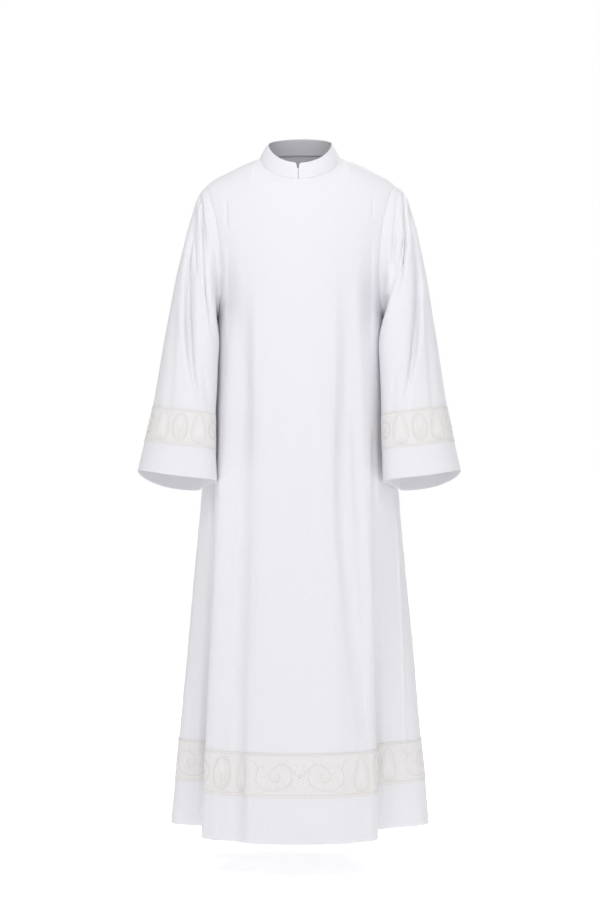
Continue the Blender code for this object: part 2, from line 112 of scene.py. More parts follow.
# Folds of the body.  Angles are in plan, 0 at centre front, 90 at the wearer's left side.  A fold
# starts at a height, is full at another, and pushes the cloth `depth` towards `heading`.
BODY_FOLDS = table(
    "start full   angle_top angle_hem reach_low reach_high depth heading",
    (0.42, 1.4575, -68.0,   -58.5,    31.5,     15.0,      0.098, 60.0),    # right side of the front
    (0.42, 1.4575, 61.0,    50.5,     21.0,     39.5,      0.098, 123.0),   # left side of the front
    (0.34, 0.700,  -27.0,   -28.5,    10.0,     9.0,       0.009, 75.0),    # soft, right of centre
    (0.34, 0.620,  21.0,    25.0,     9.0,      9.0,       0.008, 105.0),   # soft, left of centre
    (0.40, 1.4575, 124.0,   133.0,    40.0,     20.0,      0.080, 240.0),   # left side of the back
    (0.40, 1.4575, 238.0,   228.0,    20.0,     40.0,      0.086, 300.0),   # right side of the back
    (0.30, 1.200,  167.0,   165.0,    13.0,     12.0,      0.022, 262.0),   # back, left of centre
    (0.36, 1.300,  191.0,   194.0,    12.0,     14.0,      0.027, 280.0),   # back, right of centre
)

SHOULDER = table(
    "x      down",
    (0.087, 0.0000),
    (0.110, 0.0095),
    (0.155, 0.0305),
    (0.188, 0.0475),
    (0.203, 0.0580),
)

# The points that lead the cloth down from the neckline and the shoulder seam, how far in front of
# the axis and behind it.  `off` runs from the middle of a panel (0) to the shoulder's end (90).
LED_THROUGH = table(
    "off x      front  front_down back   back_down",
    (0,  0.000, 0.119, 0.132,     0.110, 0.032),
    (15, 0.062, 0.118, 0.106,     0.110, 0.029),
    (30, 0.120, 0.113, 0.066,     0.108, 0.026),
    (45, 0.160, 0.106, 0.048,     0.105, 0.028),
    (60, 0.184, 0.100, 0.060,     0.101, 0.040),
    (75, 0.197, 0.095, 0.080,     0.097, 0.058),
    (90, 0.203, 0.090, 0.094,     0.093, 0.072),
)

# Each sleeve: the outer and the inner line of the tube as seen from the front, how far forward
# they lie, and half the tube's depth.  `share` runs from the armhole (0) to the cuff (1).
SLEEVE_HEADER = "share outer_x outer_down inner_x inner_down outer_y inner_y half_depth back_drop"
SLEEVES = {
    "right": table(
        SLEEVE_HEADER,
        (0.00, 0.2030, 0.058, 0.1780, 0.352,  0.000,  0.000, 0.074, 0.0),     # armhole
        (0.04, 0.2180, 0.075, 0.1840, 0.350,  0.000, -0.006, 0.075, 0.0),     # sleeve head
        (0.12, 0.2360, 0.124, 0.1800, 0.372, -0.004, -0.050, 0.078, 0.0),
        (0.25, 0.2540, 0.196, 0.1765, 0.408, -0.014, -0.074, 0.080, 0.1),
        (0.42, 0.2785, 0.315, 0.1785, 0.458, -0.036, -0.084, 0.082, 0.3),     # elbow
        (0.58, 0.2980, 0.430, 0.1800, 0.512, -0.060, -0.094, 0.084, 0.6),
        (0.74, 0.3170, 0.5514, 0.1825, 0.567, -0.084, -0.104, 0.086, 0.9),    # top of the band
        (0.87, 0.3330, 0.627, 0.1820, 0.6445, -0.100, -0.112, 0.087, 1.0),    # foot of the band
        (1.00, 0.3470, 0.689, 0.1785, 0.710, -0.115, -0.120, 0.088, 1.0),     # cuff
    ),
    "left": table(
        SLEEVE_HEADER,
        (0.00, 0.2030, 0.058, 0.1780, 0.352,  0.000,  0.000, 0.074, 0.0),
        (0.04, 0.2245, 0.074, 0.1840, 0.350,  0.000, -0.006, 0.075, 0.0),
        (0.12, 0.2470, 0.129, 0.1780, 0.372, -0.004, -0.050, 0.078, 0.0),
        (0.25, 0.2640, 0.202, 0.1720, 0.408, -0.014, -0.076, 0.080, 0.1),
        (0.42, 0.2835, 0.318, 0.1730, 0.458, -0.036, -0.086, 0.082, 0.3),
        (0.58, 0.3005, 0.434, 0.1750, 0.512, -0.060, -0.096, 0.084, 0.6),
        (0.74, 0.3170, 0.5514, 0.1760, 0.567, -0.084, -0.106, 0.086, 0.9),
        (0.87, 0.3310, 0.627, 0.1770, 0.6445, -0.100, -0.114, 0.087, 1.0),
        (1.00, 0.3440, 0.689, 0.1785, 0.710, -0.115, -0.120, 0.088, 1.0),
    ),
}
# Folds of the sleeves: troughs seen from the front, x outwards from the axis, bent at half length.
SLEEVE_FOLD_HEADER = "face top_x top_down bend_x end_x end_down half_width depth"
SLEEVE_FOLDS = {
    "right": table(
        SLEEVE_FOLD_HEADER,
        (-1, 0.222, 0.115, 0.240, 0.214, 0.530, 0.020, 0.011),   # long, front
        (-1, 0.207, 0.100, 0.203, 0.186, 0.300, 0.014, 0.006),   # under the shoulder, front
        (+1, 0.224, 0.140, 0.246, 0.238, 0.520, 0.022, 0.012),   # long, back
        (+1, 0.206, 0.130, 0.205, 0.196, 0.360, 0.016, 0.007),   # behind the shoulder
    ),
    "left": table(
        SLEEVE_FOLD_HEADER,
        (-1, 0.240, 0.110, 0.256, 0.216, 0.520, 0.020, 0.011),
        (-1, 0.212, 0.095, 0.206, 0.182, 0.320, 0.014, 0.006),
        (+1, 0.232, 0.130, 0.250, 0.232, 0.540, 0.022, 0.012),
        (+1, 0.208, 0.120, 0.204, 0.192, 0.350, 0.016, 0.007),
    ),
}


# ------------------------------ small helpers
def read(rows, key, name, at):
    """A table's column on a smooth curve through its rows, where its rising column `key` is `at`."""
    xs, ys = rows[key], rows[name]
    slopes = np.gradient(ys, xs)
    i = np.clip(np.searchsorted(xs, at) - 1, 0, len(xs) - 2)
    step = xs[i + 1] - xs[i]
    u = np.clip((at - xs[i]) / step, 0.0, 1.0)
    start = (2 * u**3 - 3 * u**2 + 1) * ys[i] + (u**3 - 2 * u**2 + u) * step * slopes[i]
    end = (3 * u**2 - 2 * u**3) * ys[i + 1] + (u**3 - u**2) * step * slopes[i + 1]
    return start + end


def ease(t):
    t = np.clip(t, 0.0, 1.0)
    return t * t * (3 - 2 * t)


def rounded(value, squareness):
    """A sine or cosine reshaped for an oval of the given squareness."""
    return np.sign(value) * np.abs(value) ** (2 / squareness)


def bump(distance, reach):
    """1 at the middle, falling softly to 0 at the reach."""
    return 0.5 + 0.5 * np.cos(np.pi * np.clip(distance / reach, -1.0, 1.0))


def rows_of(rows):
    """The rows of a table, one dictionary each."""
    return [dict(zip(rows, row)) for row in zip(*rows.values())]


# ------------------------------ body
def plan(down, in_front):
    """The half width, the depth on one side and the squareness of the body's plan."""
    columns = "half_width", "front", "back", "squareness"
    width, front, back, squareness = (read(BODY, "down", name, down) for name in columns)
    return width, np.where(in_front, front, back), squareness


def oval(angle, down):
    """The body's plan with no folds, at angles in degrees."""
    turn = np.radians(angle)
    width, depth, squareness = plan(down, np.cos(turn) > 0)
    across = width * rounded(np.sin(turn), squareness)
    return np.stack([across, -depth * rounded(np.cos(turn), squareness)], axis=-1)


def body_point(angle, down):
    """A point of the skirt and waist, folds included."""
    point = oval(angle, down)
    for fold in rows_of(BODY_FOLDS):
        ripe = np.clip((down - fold["start"]) / (fold["full"] - fold["start"]), 0.0, 1.0)
        fall = np.clip((down - fold["start"]) / (HEM - fold["start"]), 0.0, 1.0)
        middle = fold["angle_top"] + (fold["angle_hem"] - fold["angle_top"]) * fall
        off = (angle - middle + 180.0) % 360.0 - 180.0
        reach = np.where(off < 0, fold["reach_low"], fold["reach_high"])
        push = fold["depth"] * ripe**FOLD_GROWTH * bump(off, reach)
        heading = math.radians(fold["heading"])
        point = point + push[..., None] * np.array([math.cos(heading), math.sin(heading)])
    return np.concatenate([point, -down[..., None]], axis=-1)


def neck_height(y):
    """Height of the neckline at a distance behind the axis."""
    ahead = 0.5 * (-y + np.sqrt(y * y + NECK_TURN**2)) - 0.5 * NECK_TURN
    return NECK_BACK_SLOPE * np.maximum(y, -NECK_FRONT) - (NECK_FRONT_SLOPE - NECK_BACK_SLOPE) * ahead


def neckline(angle):
    """The neckline at a plan angle, 0 at centre front."""
    turn = np.radians(angle)
    depth = np.where(np.cos(turn) > 0, NECK_FRONT, NECK_BACK)
    x = NECK_HALF_WIDTH * np.sin(turn)
    y = -depth * np.cos(turn)
    return np.stack([x, y, neck_height(y)], axis=-1)


def armhole(turn):
    """The armhole of the wearer's left side: 0 at the shoulder, 90 in front, 180 at its foot."""
    t = np.radians(turn)
    bottom_x = BODY["half_width"][0]
    middle = 0.5 * (ARMHOLE_TOP_X + bottom_x)
    spread = 0.5 * (middle - ARMHOLE_MIDDLE_X)
    x = middle - spread + 0.5 * (ARMHOLE_TOP_X - bottom_x) * np.cos(t) + spread * np.cos(2 * t)
    y = -np.where(np.sin(t) > 0, ARMHOLE_FRONT, ARMHOLE_BACK) * np.sin(t)
    half = 0.5 * (UNDERARM - ARMHOLE_TOP)
    z = -(ARMHOLE_TOP + half) + half * np.cos(t)
    return np.stack([x, y, z], axis=-1)


def cubic(a, b, c, d, r):
    """A cubic curve from a to d with handles b and c."""
    r = r[..., None]
    return (1 - r) ** 3 * a + 3 * (1 - r) ** 2 * r * b + 3 * (1 - r) * r**2 * c + r**3 * d


def top_edge(face, off):
    """The panel's upper edge, neckline then shoulder seam, and the point that leads its cloth."""
    at_neck = np.clip(off / NECK_ANGLE, 0.0, 1.0)
    neck = neckline(90.0 + face * 90.0 * (1.0 - at_neck))
    share = np.clip((off - NECK_ANGLE) / (90.0 - NECK_ANGLE), 0.0, 1.0)
    out = 1.0 - (1.0 - share) ** SEAM_CLOSING
    x = NECK_HALF_WIDTH + (ARMHOLE_TOP_X - NECK_HALF_WIDTH) * out
    seam = np.stack([x, 0 * x, -read(SHOULDER, "x", "down", x)], axis=-1)
    edge = np.where((off <= NECK_ANGLE)[..., None], neck, seam)
    side = "front" if face < 0 else "back"
    led = np.stack(
        [
            read(LED_THROUGH, "off", "x", off),
            face * read(LED_THROUGH, "off", side, off),
            -read(LED_THROUGH, "off", f"{side}_down", off),
        ],
        axis=-1,
    )
    return edge, led


def yoke_curve(face, off, rise):
    """A column of the panel above the underarm: rise 0 at the underarm, 1 at the upper edge."""
    cut_in = (ARMHOLE_FRONT if face < 0 else ARMHOLE_BACK) * np.sin(np.pi * np.minimum(rise, 0.5))
    depth = BODY["front" if face < 0 else "back"][0]
    widest = np.degrees(np.arccos((cut_in / depth) ** (0.5 * BODY["squareness"][0])))
    angle = off * widest / 90.0
    angle = angle if face < 0 else 180.0 - angle
    foot = body_point(angle, np.full_like(off, UNDERARM))
    below = body_point(angle, np.full_like(off, UNDERARM + STEP))
    lead = (foot - below) * np.array([1.0, YOKE_LEAN, 1.0]) * YOKE_LEAD / STEP
    edge, led = top_edge(face, off)
    return cubic(foot, foot + lead, led, edge, rise)


def yoke_point(face, turn, rise):
    """A point of the panel above the underarm, its outermost column on the armhole."""
    off = np.abs(turn)
    rim = armhole(180.0 + face * 180.0 * rise)
    point = yoke_curve(face, off, rise)
    short = rim - yoke_curve(face, np.full_like(off, 90.0), rise)
    point = point + short * ease(off / 90.0)[..., None]
    point[..., 0] *= np.sign(turn)
    point[..., 2] += SHOULDER_TILT * point[..., 0] * rise
    return point


# ------------------------------ sleeves
def between(u, opens, closes):
    """0 at both ends of a stretch and 1 along its middle."""
    return ease(u / opens) * ease((1 - u) / closes)


def clear_of_body(points, share):
    """Moves points of a sleeve that would lie in the body's oval out of it, along the plan radius."""
    down = np.clip(-points[..., 2], BODY["down"][0], HEM)
    width, depth, squareness = plan(down, points[..., 1] < 0)
    reach = (
        np.abs(points[..., 0] / (width + CLEAR_OF_BODY)) ** squareness
        + np.abs(points[..., 1] / (depth + CLEAR_OF_BODY)) ** squareness
    ) ** (1 / squareness)
    factor = 1.0 + ease(share / CLEAR_FROM) * np.maximum(0.0, 1.0 / reach - 1.0)
    moved = points.copy()
    moved[..., :2] *= factor[..., None]
    return moved


def sleeve_frame(rows, share):
    """Middle, outward and forward half-axes of the sleeve's rings."""
    def col(name):
        return read(rows, "share", name, share)

    outer = np.stack([col("outer_x"), col("outer_y"), -col("outer_down")], axis=-1)
    inner = np.stack([col("inner_x"), col("inner_y"), -col("inner_down")], axis=-1)
    return 0.5 * (outer + inner), 0.5 * (outer - inner), col("half_depth"), col("back_drop")


def ring_point(rows, share, turn):
    """The sleeve's tube with no folds: turn 0 outside, 90 in front, 180 inside."""
    middle, half, depth, drop = sleeve_frame(rows, share)
    c = rounded(np.cos(np.radians(turn)), SLEEVE_SQUARENESS)
    s = rounded(np.sin(np.radians(turn)), SLEEVE_SQUARENESS)
    point = middle + half * c[..., None]
    point[..., 1] -= depth * s
    lift = 0.5 * (CUFF_FRONT_LIFT + CUFF_BACK_DROP) * s
    point[..., 2] += drop * (lift + 0.5 * (CUFF_FRONT_LIFT - CUFF_BACK_DROP) * s * s)
    return point


def sleeve_points(hand, share, turn):
    """Points of a sleeve, on the wearer's left, with its join to the armhole and its folds."""
    rows = SLEEVES[hand]
    point = ring_point(rows, share, turn)
    join = (1.0 - ease(share / SLEEVE_JOIN))[..., None]
    tilt = SHOULDER_TILT * ARMHOLE_TOP_X * (1 if hand == "left" else -1)
    rise = 1.0 - np.minimum(turn, 360.0 - turn) / 180.0
    point = point + join * (armhole(turn) - ring_point(rows, 0 * share, turn))
    point[..., 2] += join[..., 0] * tilt * rise
    point = clear_of_body(point, share)
    inward = ring_point(rows, share, turn) - sleeve_frame(rows, share)[0]
    inward = -inward / np.linalg.norm(inward, axis=-1, keepdims=True)
    for fold in rows_of(SLEEVE_FOLDS[hand]):
        length = fold["end_down"] - fold["top_down"]
        u = (-point[..., 2] - fold["top_down"]) / length
        inside = np.clip(u, 0.0, 1.0)
        bend = 4 * inside * (1 - inside)
        line = fold["top_x"] + (fold["end_x"] - fold["top_x"]) * inside
        line = line + bend * (fold["bend_x"] - 0.5 * (fold["top_x"] + fold["end_x"]))
        facing = np.clip(-fold["face"] * np.sin(np.radians(turn)) * FOLD_SIDE, 0.0, 1.0)
        along = between(u, FOLD_OPENS, FOLD_CLOSES)
        push = fold["depth"] * along * facing * bump(point[..., 0] - line, fold["half_width"])
        point = point + push[..., None] * inward
    return point


# ------------------------------ collar
def collar_top(angle):
    """The collar's upper edge."""
    turn = np.radians(angle)
    ahead = np.cos(turn)
    depth = np.where(ahead > 0, COLLAR_TOP_FRONT, COLLAR_TOP_BACK)
    x = COLLAR_TOP_HALF_WIDTH * np.sin(turn)
    dip = np.where(
        ahead > 0, -COLLAR_FRONT_DIP * np.abs(ahead) ** COLLAR_DIP_CURVE, -COLLAR_BACK_RISE * ahead
    )
    return np.stack([x, -depth * ahead, COLLAR_TOP_Z + dip], axis=-1)


# ------------------------------ sewn detail: sizes
MM = 0.001
CLOTH_WALL = 0.0010, 0.0001       # the shown cloth lies on the outer side of the CAD wall
COLLAR_WALL = 0.0013, -0.0013
COLLAR_SINK = 0.0001              # the collar is sewn down onto the neckline
GROUND_WALL = 0.0017, 0.00102     # the woven band lies on the cloth
SEAM_DIP, SEAM_REACH = 0.0002, 0.0040    # the cloth turns in at a seam
ARMPIT_DIP, ARMPIT_FADES = 0.0005, 0.03  # and further under the arm, where it folds back on itself
ARMPIT_ROOM = 0.0012
UNDER_ARM_FROM, UNDER_ARM_SPAN = 85.0, 60.0  # degrees round the sleeve over which that comes in
SEWN = -0.0001                    # the sleeve's head is moved in this far, to meet the panels
HEAD_PLAIN, HEAD_EVEN = 0.08, 0.1  # shares of the sleeve over which creases and unevenness come in

# The sleeve's inner side tucks in behind the body: how far, where round the sleeve in degrees, and
# the shares of its length over which it starts, where it ends and over which it fades.
TUCK = {"right": 0.0026, "left": 0.0010}
TUCK_TURN, TUCK_REACH = 222.0, 44.0
TUCK_OPENS, TUCK_ENDS, TUCK_FADES = 0.045, 0.32, 0.18

# How far the edges of a wall bulge: a seam's until they meet, a side seam's until no light passes.
SEAM_LIP, SIDE_LIP, FREE_LIP = 0.00013, 0.00034, 0.00045
COLLAR_LIPS = 0.0004, 0.0010, 0.0002, 0.0002

# How finely each piece is drawn, and how its rows crowd.
PANEL_ACROSS, SKIRT_UP, YOKE_UP = 236, 118, 54
SLEEVE_ROUND, SLEEVE_DOWN = 214, 150
COLLAR_ROUND, COLLAR_UP, CORNER_ROUND = 200, 20, 12
HEM_BAND_ACROSS, HEM_BAND_UP = 340, 30
SLEEVE_BAND_ROUND, SLEEVE_BAND_DOWN = 220, 26
YOKE_CROWDS, SLEEVE_CROWDS, COLLAR_CROWDS = 1.25, 1.1, 1.4
CROWD, CROWDED, CROWD_REACH = 1.2, 60.0, 14.0  # a panel's columns crowd where its deep folds are
FINE_TURNS = 721

# The yoke is smoothed across, this often.  That fades towards its upper edge, its sides and the waist.
YOKE_SOFT, SOFT_TOP, SOFT_SIDES = 150, 0.10, 0.35
SOFT_ENDS, SOFT_FADES = 0.62, 0.25

# The collar's edges part a little at the top of the slit, and one laps over the other.
NOTCH_LEFT, NOTCH_RIGHT, NOTCH_DEPTH, NOTCH_CLOSES = 0.0012, 0.0034, 0.0068, 0.0030
NOTCH_REACH, FRONT_HEIGHT = 0.014, 0.030
LAP_LIFT, LAP_REACH = 0.0007, 0.004
COLLAR_CROWN, CROWN_REACH = 0.0005, 0.010
COLLAR_UNEVEN, COLLAR_FINER = 0.4, 2.5

# Creases the cloth takes besides the CAD folds, in millimetres: the face (-1 front, +1 back), the
# reach to smaller and to larger x, the depth (below 0 for a ridge), how rounded the line is, and its
# path through (x, down) points.  x is outwards on a sleeve.
PANEL_CREASES = {
    "front": (
        # by the armholes
        (-1, 10, 6, 2.4, 0.6, (-160, 88), (-159, 125), (-158, 165)),
        (-1, 6, 10, 2, 0.6, (158, 88), (158, 115), (157, 145)),
        # under the arms
        (-1, 10, 30, 3.4, 2, (-156, 180), (-154, 290), (-150, 430)),
        (-1, 34, 10, 3.8, 2, (156, 170), (154, 300), (150, 460)),
        # long and soft, down both sides of the front
        (-1, 44, 36, 17.5, 2,
         (-120, 200), (-123, 536), (-132, 706), (-138, 930), (-143, 1120), (-139, 1470), (-137, 1760)),
        (-1, 36, 40, 17, 2,
         (100, 200), (102, 536), (99, 720), (109, 869), (120, 991), (133, 1113), (146, 1233),
         (154, 1430), (156, 1620)),
        # behind the rolled edges
        (-1, 14, 6, 18, 0.5,
         (-187, 580), (-188, 835), (-196, 1004), (-204, 1172), (-209, 1340), (-212, 1500)),
        (-1, 8, 15, 26, 0.5, (156, 580), (160, 875), (165, 1065), (166.5, 1272), (169, 1500)),
        # a light crease on the left side
        (-1, 6, 6, -4, 0.3, (207, 740), (213, 875), (224.5, 1146), (229, 1380)),
        # hardly there
        (-1, 24, 30, 1.6, 2, (-54, 420), (-50, 800), (-46, 1250)),
        (-1, 30, 24, 1.6, 2, (34, 520), (30, 900), (38, 1400)),
    ),
    "back": (
        # by the armholes
        (+1, 8, 12, 2.8, 0.5, (-158, 105), (-155, 150), (-150, 200)),
        (+1, 12, 8, 3, 0.5, (160, 100), (157, 155), (152, 210)),
        # long and soft, from the shoulders down
        (+1, 22, 30, 8.5, 1.5, (-120, 150), (-104, 380), (-92, 640)),
        (+1, 30, 22, 8, 1.5, (126, 160), (112, 370), (104, 580)),
        # lower ones, between and beside the deep folds
        (+1, 22, 18, 7, 1, (-60, 330), (-66, 730), (-82, 1160)),
        (+1, 18, 22, 7, 1, (48, 360), (58, 800), (66, 1300)),
        (+1, 18, 20, 5.5, 1, (-148, 560), (-160, 930), (-178, 1340)),
        (+1, 20, 16, 5, 1, (146, 600), (160, 920), (172, 1280)),
        (+1, 22, 26, 4.5, 1.2, (8, 500), (2, 940), (-6, 1400)),
    ),
}
SLEEVE_CREASES = {
    "right": (
        # the hollow at the sleeve's head
        (-1, 7, 7, 9, 0.2, (231.5, 85), (234, 152), (239, 196), (240.5, 270)),
        # the fan under the shoulder, and the long crease beside it
        (-1, 7, 8, 6.8, 0.4, (216, 66), (230, 149), (229.7, 196), (220, 285)),
        (-1, 9, 13, 12, 0.5,
         (227, 70), (237.5, 150), (240, 200), (241.5, 266), (239.6, 343), (233, 435), (226.8, 478),
         (218.4, 513), (208, 590)),
        # from the seam across to the inside, with its ridge
        (-1, 7, 8, 10.5, 0.3,
         (219, 70), (207.9, 158), (204, 228), (200, 303), (194, 345), (180, 415), (170, 455)),
        (-1, 7, 8, -3, 0.5, (224, 90), (216, 165), (211.5, 235), (208.5, 300), (195, 395)),
        # beside the seam, at the inside and at the outside
        (-1, 8, 10, 4.5, 0.8, (194.5, 70), (185.5, 158), (179.2, 218), (174, 290)),
        (-1, 10, 14, 4, 1, (206, 460), (197, 520), (184, 585)),
        (-1, 14, 18, 3, 1, (268, 330), (276, 500), (282, 640)),
        # behind
        (+1, 7, 10, 5.8, 0.4, (226, 80), (236, 200), (230, 340)),
        (+1, 9, 13, 9, 0.5, (246, 130), (247, 320), (238, 480), (224, 600)),
        (+1, 8, 9, 5.5, 0.4, (214, 100), (205, 230), (186, 360)),
        (+1, 9, 9, -3, 0.5, (228, 160), (212, 310), (184, 450)),
        (+1, 14, 16, 4, 1, (272, 300), (280, 460), (292, 620)),
    ),
    "left": (
        # the wedge-shaped hollow under the shoulder, and the long crease beside it
        (-1, 10, 8, 14, 0.2, (226, 55), (232, 121), (233.5, 177), (224, 235), (215, 310)),
        (-1, 9, 12, 12, 0.5,
         (238, 85), (252, 210), (256, 278), (250.6, 355), (241.4, 438), (229.5, 498), (210, 585)),
        # shallower ones beside them, towards the seam
        (-1, 5, 6, 3.6, 0.4, (224, 110), (224.5, 190), (213.8, 250), (208, 325)),
        (-1, 6, 8, 6.5, 0.4, (214, 70), (204.2, 164), (199.2, 234), (196, 310)),
        (-1, 9, 7, 4.5, 0.8, (188.5, 70), (181.8, 157), (174, 217), (172, 280)),
        # from the wedge across to the inside, with its ridge
        (-1, 8, 8, 11.5, 0.3, (226, 175), (201, 272), (186, 318), (168, 390)),
        (-1, 8, 8, -3, 0.5, (233, 200), (217, 270), (199, 322), (181, 385)),
        # at the outside and at the inside
        (-1, 12, 16, 3, 1, (270, 300), (279, 460), (286, 610)),
        (-1, 10, 12, 2.8, 1, (202, 480), (196, 540), (192, 590)),
        # behind
        (+1, 8, 10, 6, 0.4, (230, 75), (240, 210), (232, 360)),
        (+1, 9, 13, 9, 0.5, (250, 110), (252, 310), (243, 450), (226, 590)),
        (+1, 7, 9, 5.2, 0.4, (212, 100), (204, 210), (189, 330)),
        (+1, 9, 10, -3, 0.5, (224, 180), (208, 330), (182, 480)),
        (+1, 12, 16, 3.8, 1, (274, 340), (284, 490), (296, 640)),
    ),
}
PANEL_OPENS, SLEEVE_OPENS, CREASE_CLOSES = 0.22, 0.10, 0.30
CREASE_START = 0.70       # a crease's reach at its top, as a share of its full reach

# Slow unevenness all over: waves along x and along the height, with their size.  They drift, by how
# much and how slowly, and change from front to back.
RIPPLE_DRIFT, RIPPLE_SLOWLY, RIPPLE_DEEP = 2.0, 0.4, 9.0
RIPPLES = table(
    "across  down   start  size",
    (31.0,   5.0,   0.3,   0.00050),
    (-17.0,  13.0,  1.9,   0.00035),
    (53.0,   -7.0,  4.1,   0.00022),
    (11.0,   29.0,  2.6,   0.00022),
)
# Small puckers along a seam, faded out away from it.
PUCKERS = table("pitch start size", (0.023, 0.4, 0.00030), (0.0147, 2.2, 0.00020), (0.061, 1.1, 0.00035))
PUCKER_REACH, PUCKER_SLANT = 0.022, 40.0


# ------------------------------ dressing a grid
def grid_normals(grid, closed):
    """The outward direction at each point of a grid."""
    across = np.roll(grid, -1, 1) - np.roll(grid, 1, 1) if closed else np.gradient(grid, axis=1)
    return unit(np.cross(across, np.gradient(grid, axis=0)))


def unit(vectors):
    return vectors / np.maximum(np.linalg.norm(vectors, axis=-1, keepdims=True), 1e-9)


def furrow(across, soft):
    """A crease's section: 1 at its line and 0 at its reach, with a narrow or a broad bottom."""
    t = (np.hypot(across, soft) - soft) / (math.hypot(1, soft) - soft)
    return np.clip(1 - t, 0.0, 1.0) ** 2


def crease_depths(points, creases, facing, opens):
    """How deep some creases are at points.  `facing` is how much each point faces the back."""
    depth = np.zeros(points.shape[:-1])
    at = -points[..., 2]
    for face, inner, outer, size, soft, *path in creases:
        x, down = MM * np.array(path).T
        u = (at - down[0]) / (down[-1] - down[0])
        off = points[..., 0] - np.interp(at, down, x)
        reach = MM * np.where(off < 0, inner, outer)
        reach = reach * (CREASE_START + (1 - CREASE_START) * ease(2 * u))
        along = between(u, opens, CREASE_CLOSES)
        side = np.clip(face * facing * FOLD_SIDE, 0.0, 1.0)
        depth += MM * size * along * side * furrow(off / reach, soft)
    return depth


def unevenness(points):
    total = np.zeros(points.shape[:-1])
    for wave in rows_of(RIPPLES):
        phase = wave["across"] * points[..., 0] + wave["down"] * points[..., 2] + wave["start"]
        phase = phase + RIPPLE_DRIFT * np.cos(RIPPLE_SLOWLY * phase) + RIPPLE_DEEP * points[..., 1]
        total += wave["size"] * np.sin(phase)
    return total


def from_edge(grid, axis, end=0):
    """Distance of each point from an edge of its grid, along the cloth."""
    steps = np.linalg.norm(np.diff(grid, axis=axis), axis=-1)
    start = np.zeros_like(np.take(steps, [0], axis))
    run = np.concatenate([start, np.cumsum(steps, axis)], axis)
    return np.take(run, [-1], axis) - run if end else run


def seam_depths(grid, seams):
    """The turned-in edge and the puckers along the seams of a grid, given as (axis, end) pairs."""
    depth, dip = np.zeros(grid.shape[:2]), np.zeros(grid.shape[:2])
    for axis, end in seams:
        away = from_edge(grid, axis, end)
        dip = np.maximum(dip, SEAM_DIP * np.clip(1 - away / SEAM_REACH, 0.0, 1.0) ** 2)
        along = from_edge(grid, 1 - axis)
        fade = np.clip(1 - away / PUCKER_REACH, 0.0, 1.0) ** 2
        for pucker in rows_of(PUCKERS):
            wave = np.sin(2 * math.pi * along / pucker["pitch"] + pucker["start"] + PUCKER_SLANT * away)
            depth += pucker["size"] * fade * wave
    return depth + dip


def dressed(grid, closed, depth):
    return grid - grid_normals(grid, closed) * depth[..., None]


LEFT, RIGHT, START, END = (1, 0), (1, 1), (0, 0), (0, 1)  # edges of a grid, as (axis, end)


def panel(name, heights, across, seams):
    """A dressed panel, front or back, at heights given as (down, rise) pairs."""
    face = FACES[name]
    turn = np.linspace(-90.0, 90.0, FINE_TURNS)
    run = np.cumsum(1 + CROWD * np.exp(-(((np.abs(turn) - CROWDED) / CROWD_REACH) ** 2)))
    turn = np.interp(np.linspace(run[0], run[-1], across + 1), run, turn)
    angle = turn if face < 0 else 180.0 - turn
    rows = []
    for down, rise in heights:
        if rise > 0:
            rows.append(yoke_point(face, turn, np.full_like(turn, rise)))
        else:
            rows.append(body_point(angle, np.full_like(turn, down)))
    grid = np.array(rows)
    grid[..., 1] += face * (0.5 * SEAM_GAP + TURNED_EDGE)
    if face > 0:
        grid = grid[:, ::-1]
    soft = grid[..., 1].copy()
    for _ in range(YOKE_SOFT):
        soft[:, 1:-1] = 0.25 * (soft[:, :-2] + 2 * soft[:, 1:-1] + soft[:, 2:])
    downs, rises = np.array(heights).T
    share = ease((1.0 - rises) / SOFT_TOP) * ease((SOFT_ENDS - downs) / SOFT_FADES)
    edge = ease((1 - np.linspace(-1, 1, across + 1) ** 2) / SOFT_SIDES)
    grid[..., 1] += share[:, None] * edge * (soft - grid[..., 1])
    depth = crease_depths(grid, PANEL_CREASES[name], grid_normals(grid, False)[..., 1], PANEL_OPENS)
    return dressed(grid, False, depth + unevenness(grid) + seam_depths(grid, seams))


def sleeve(hand, shares, around, seams):
    """A dressed sleeve at shares of its length."""
    share, turn = np.meshgrid(shares, np.arange(around) * 360.0 / around, indexing="ij")
    grid = sleeve_points(hand, share, turn)
    under = ease((np.minimum(turn, 360.0 - turn) - UNDER_ARM_FROM) / UNDER_ARM_SPAN)
    room = (SEWN + ARMPIT_ROOM * under) * (1 - ease(share / FOLD_OVER_SHARE))
    tuck = TUCK[hand] * bump(turn - TUCK_TURN, TUCK_REACH)
    tuck = tuck * ease(share / TUCK_OPENS) * ease((TUCK_ENDS - share) / TUCK_FADES)
    grid[..., 0] += room - tuck
    grid[..., 1] -= room * FOLD_OVER_DEPTH * np.sin(np.radians(turn))
    depth = crease_depths(grid, SLEEVE_CREASES[hand], -np.sin(np.radians(turn)), SLEEVE_OPENS)
    depth *= ease(share / HEAD_PLAIN)
    depth += ARMPIT_DIP * under * (1 - ease(share / ARMPIT_FADES))
    depth += unevenness(grid) * ease(share / HEAD_EVEN) + seam_depths(grid, seams)
    if hand == "right":
        grid, depth = grid[:, ::-1].copy(), depth[:, ::-1]
        grid[..., 0] *= -1
    return dressed(grid, True, depth)


def at_slit(size):
    """The plan angle of a size in metres at the collar's front."""
    return math.degrees(size / COLLAR_TOP_FRONT)


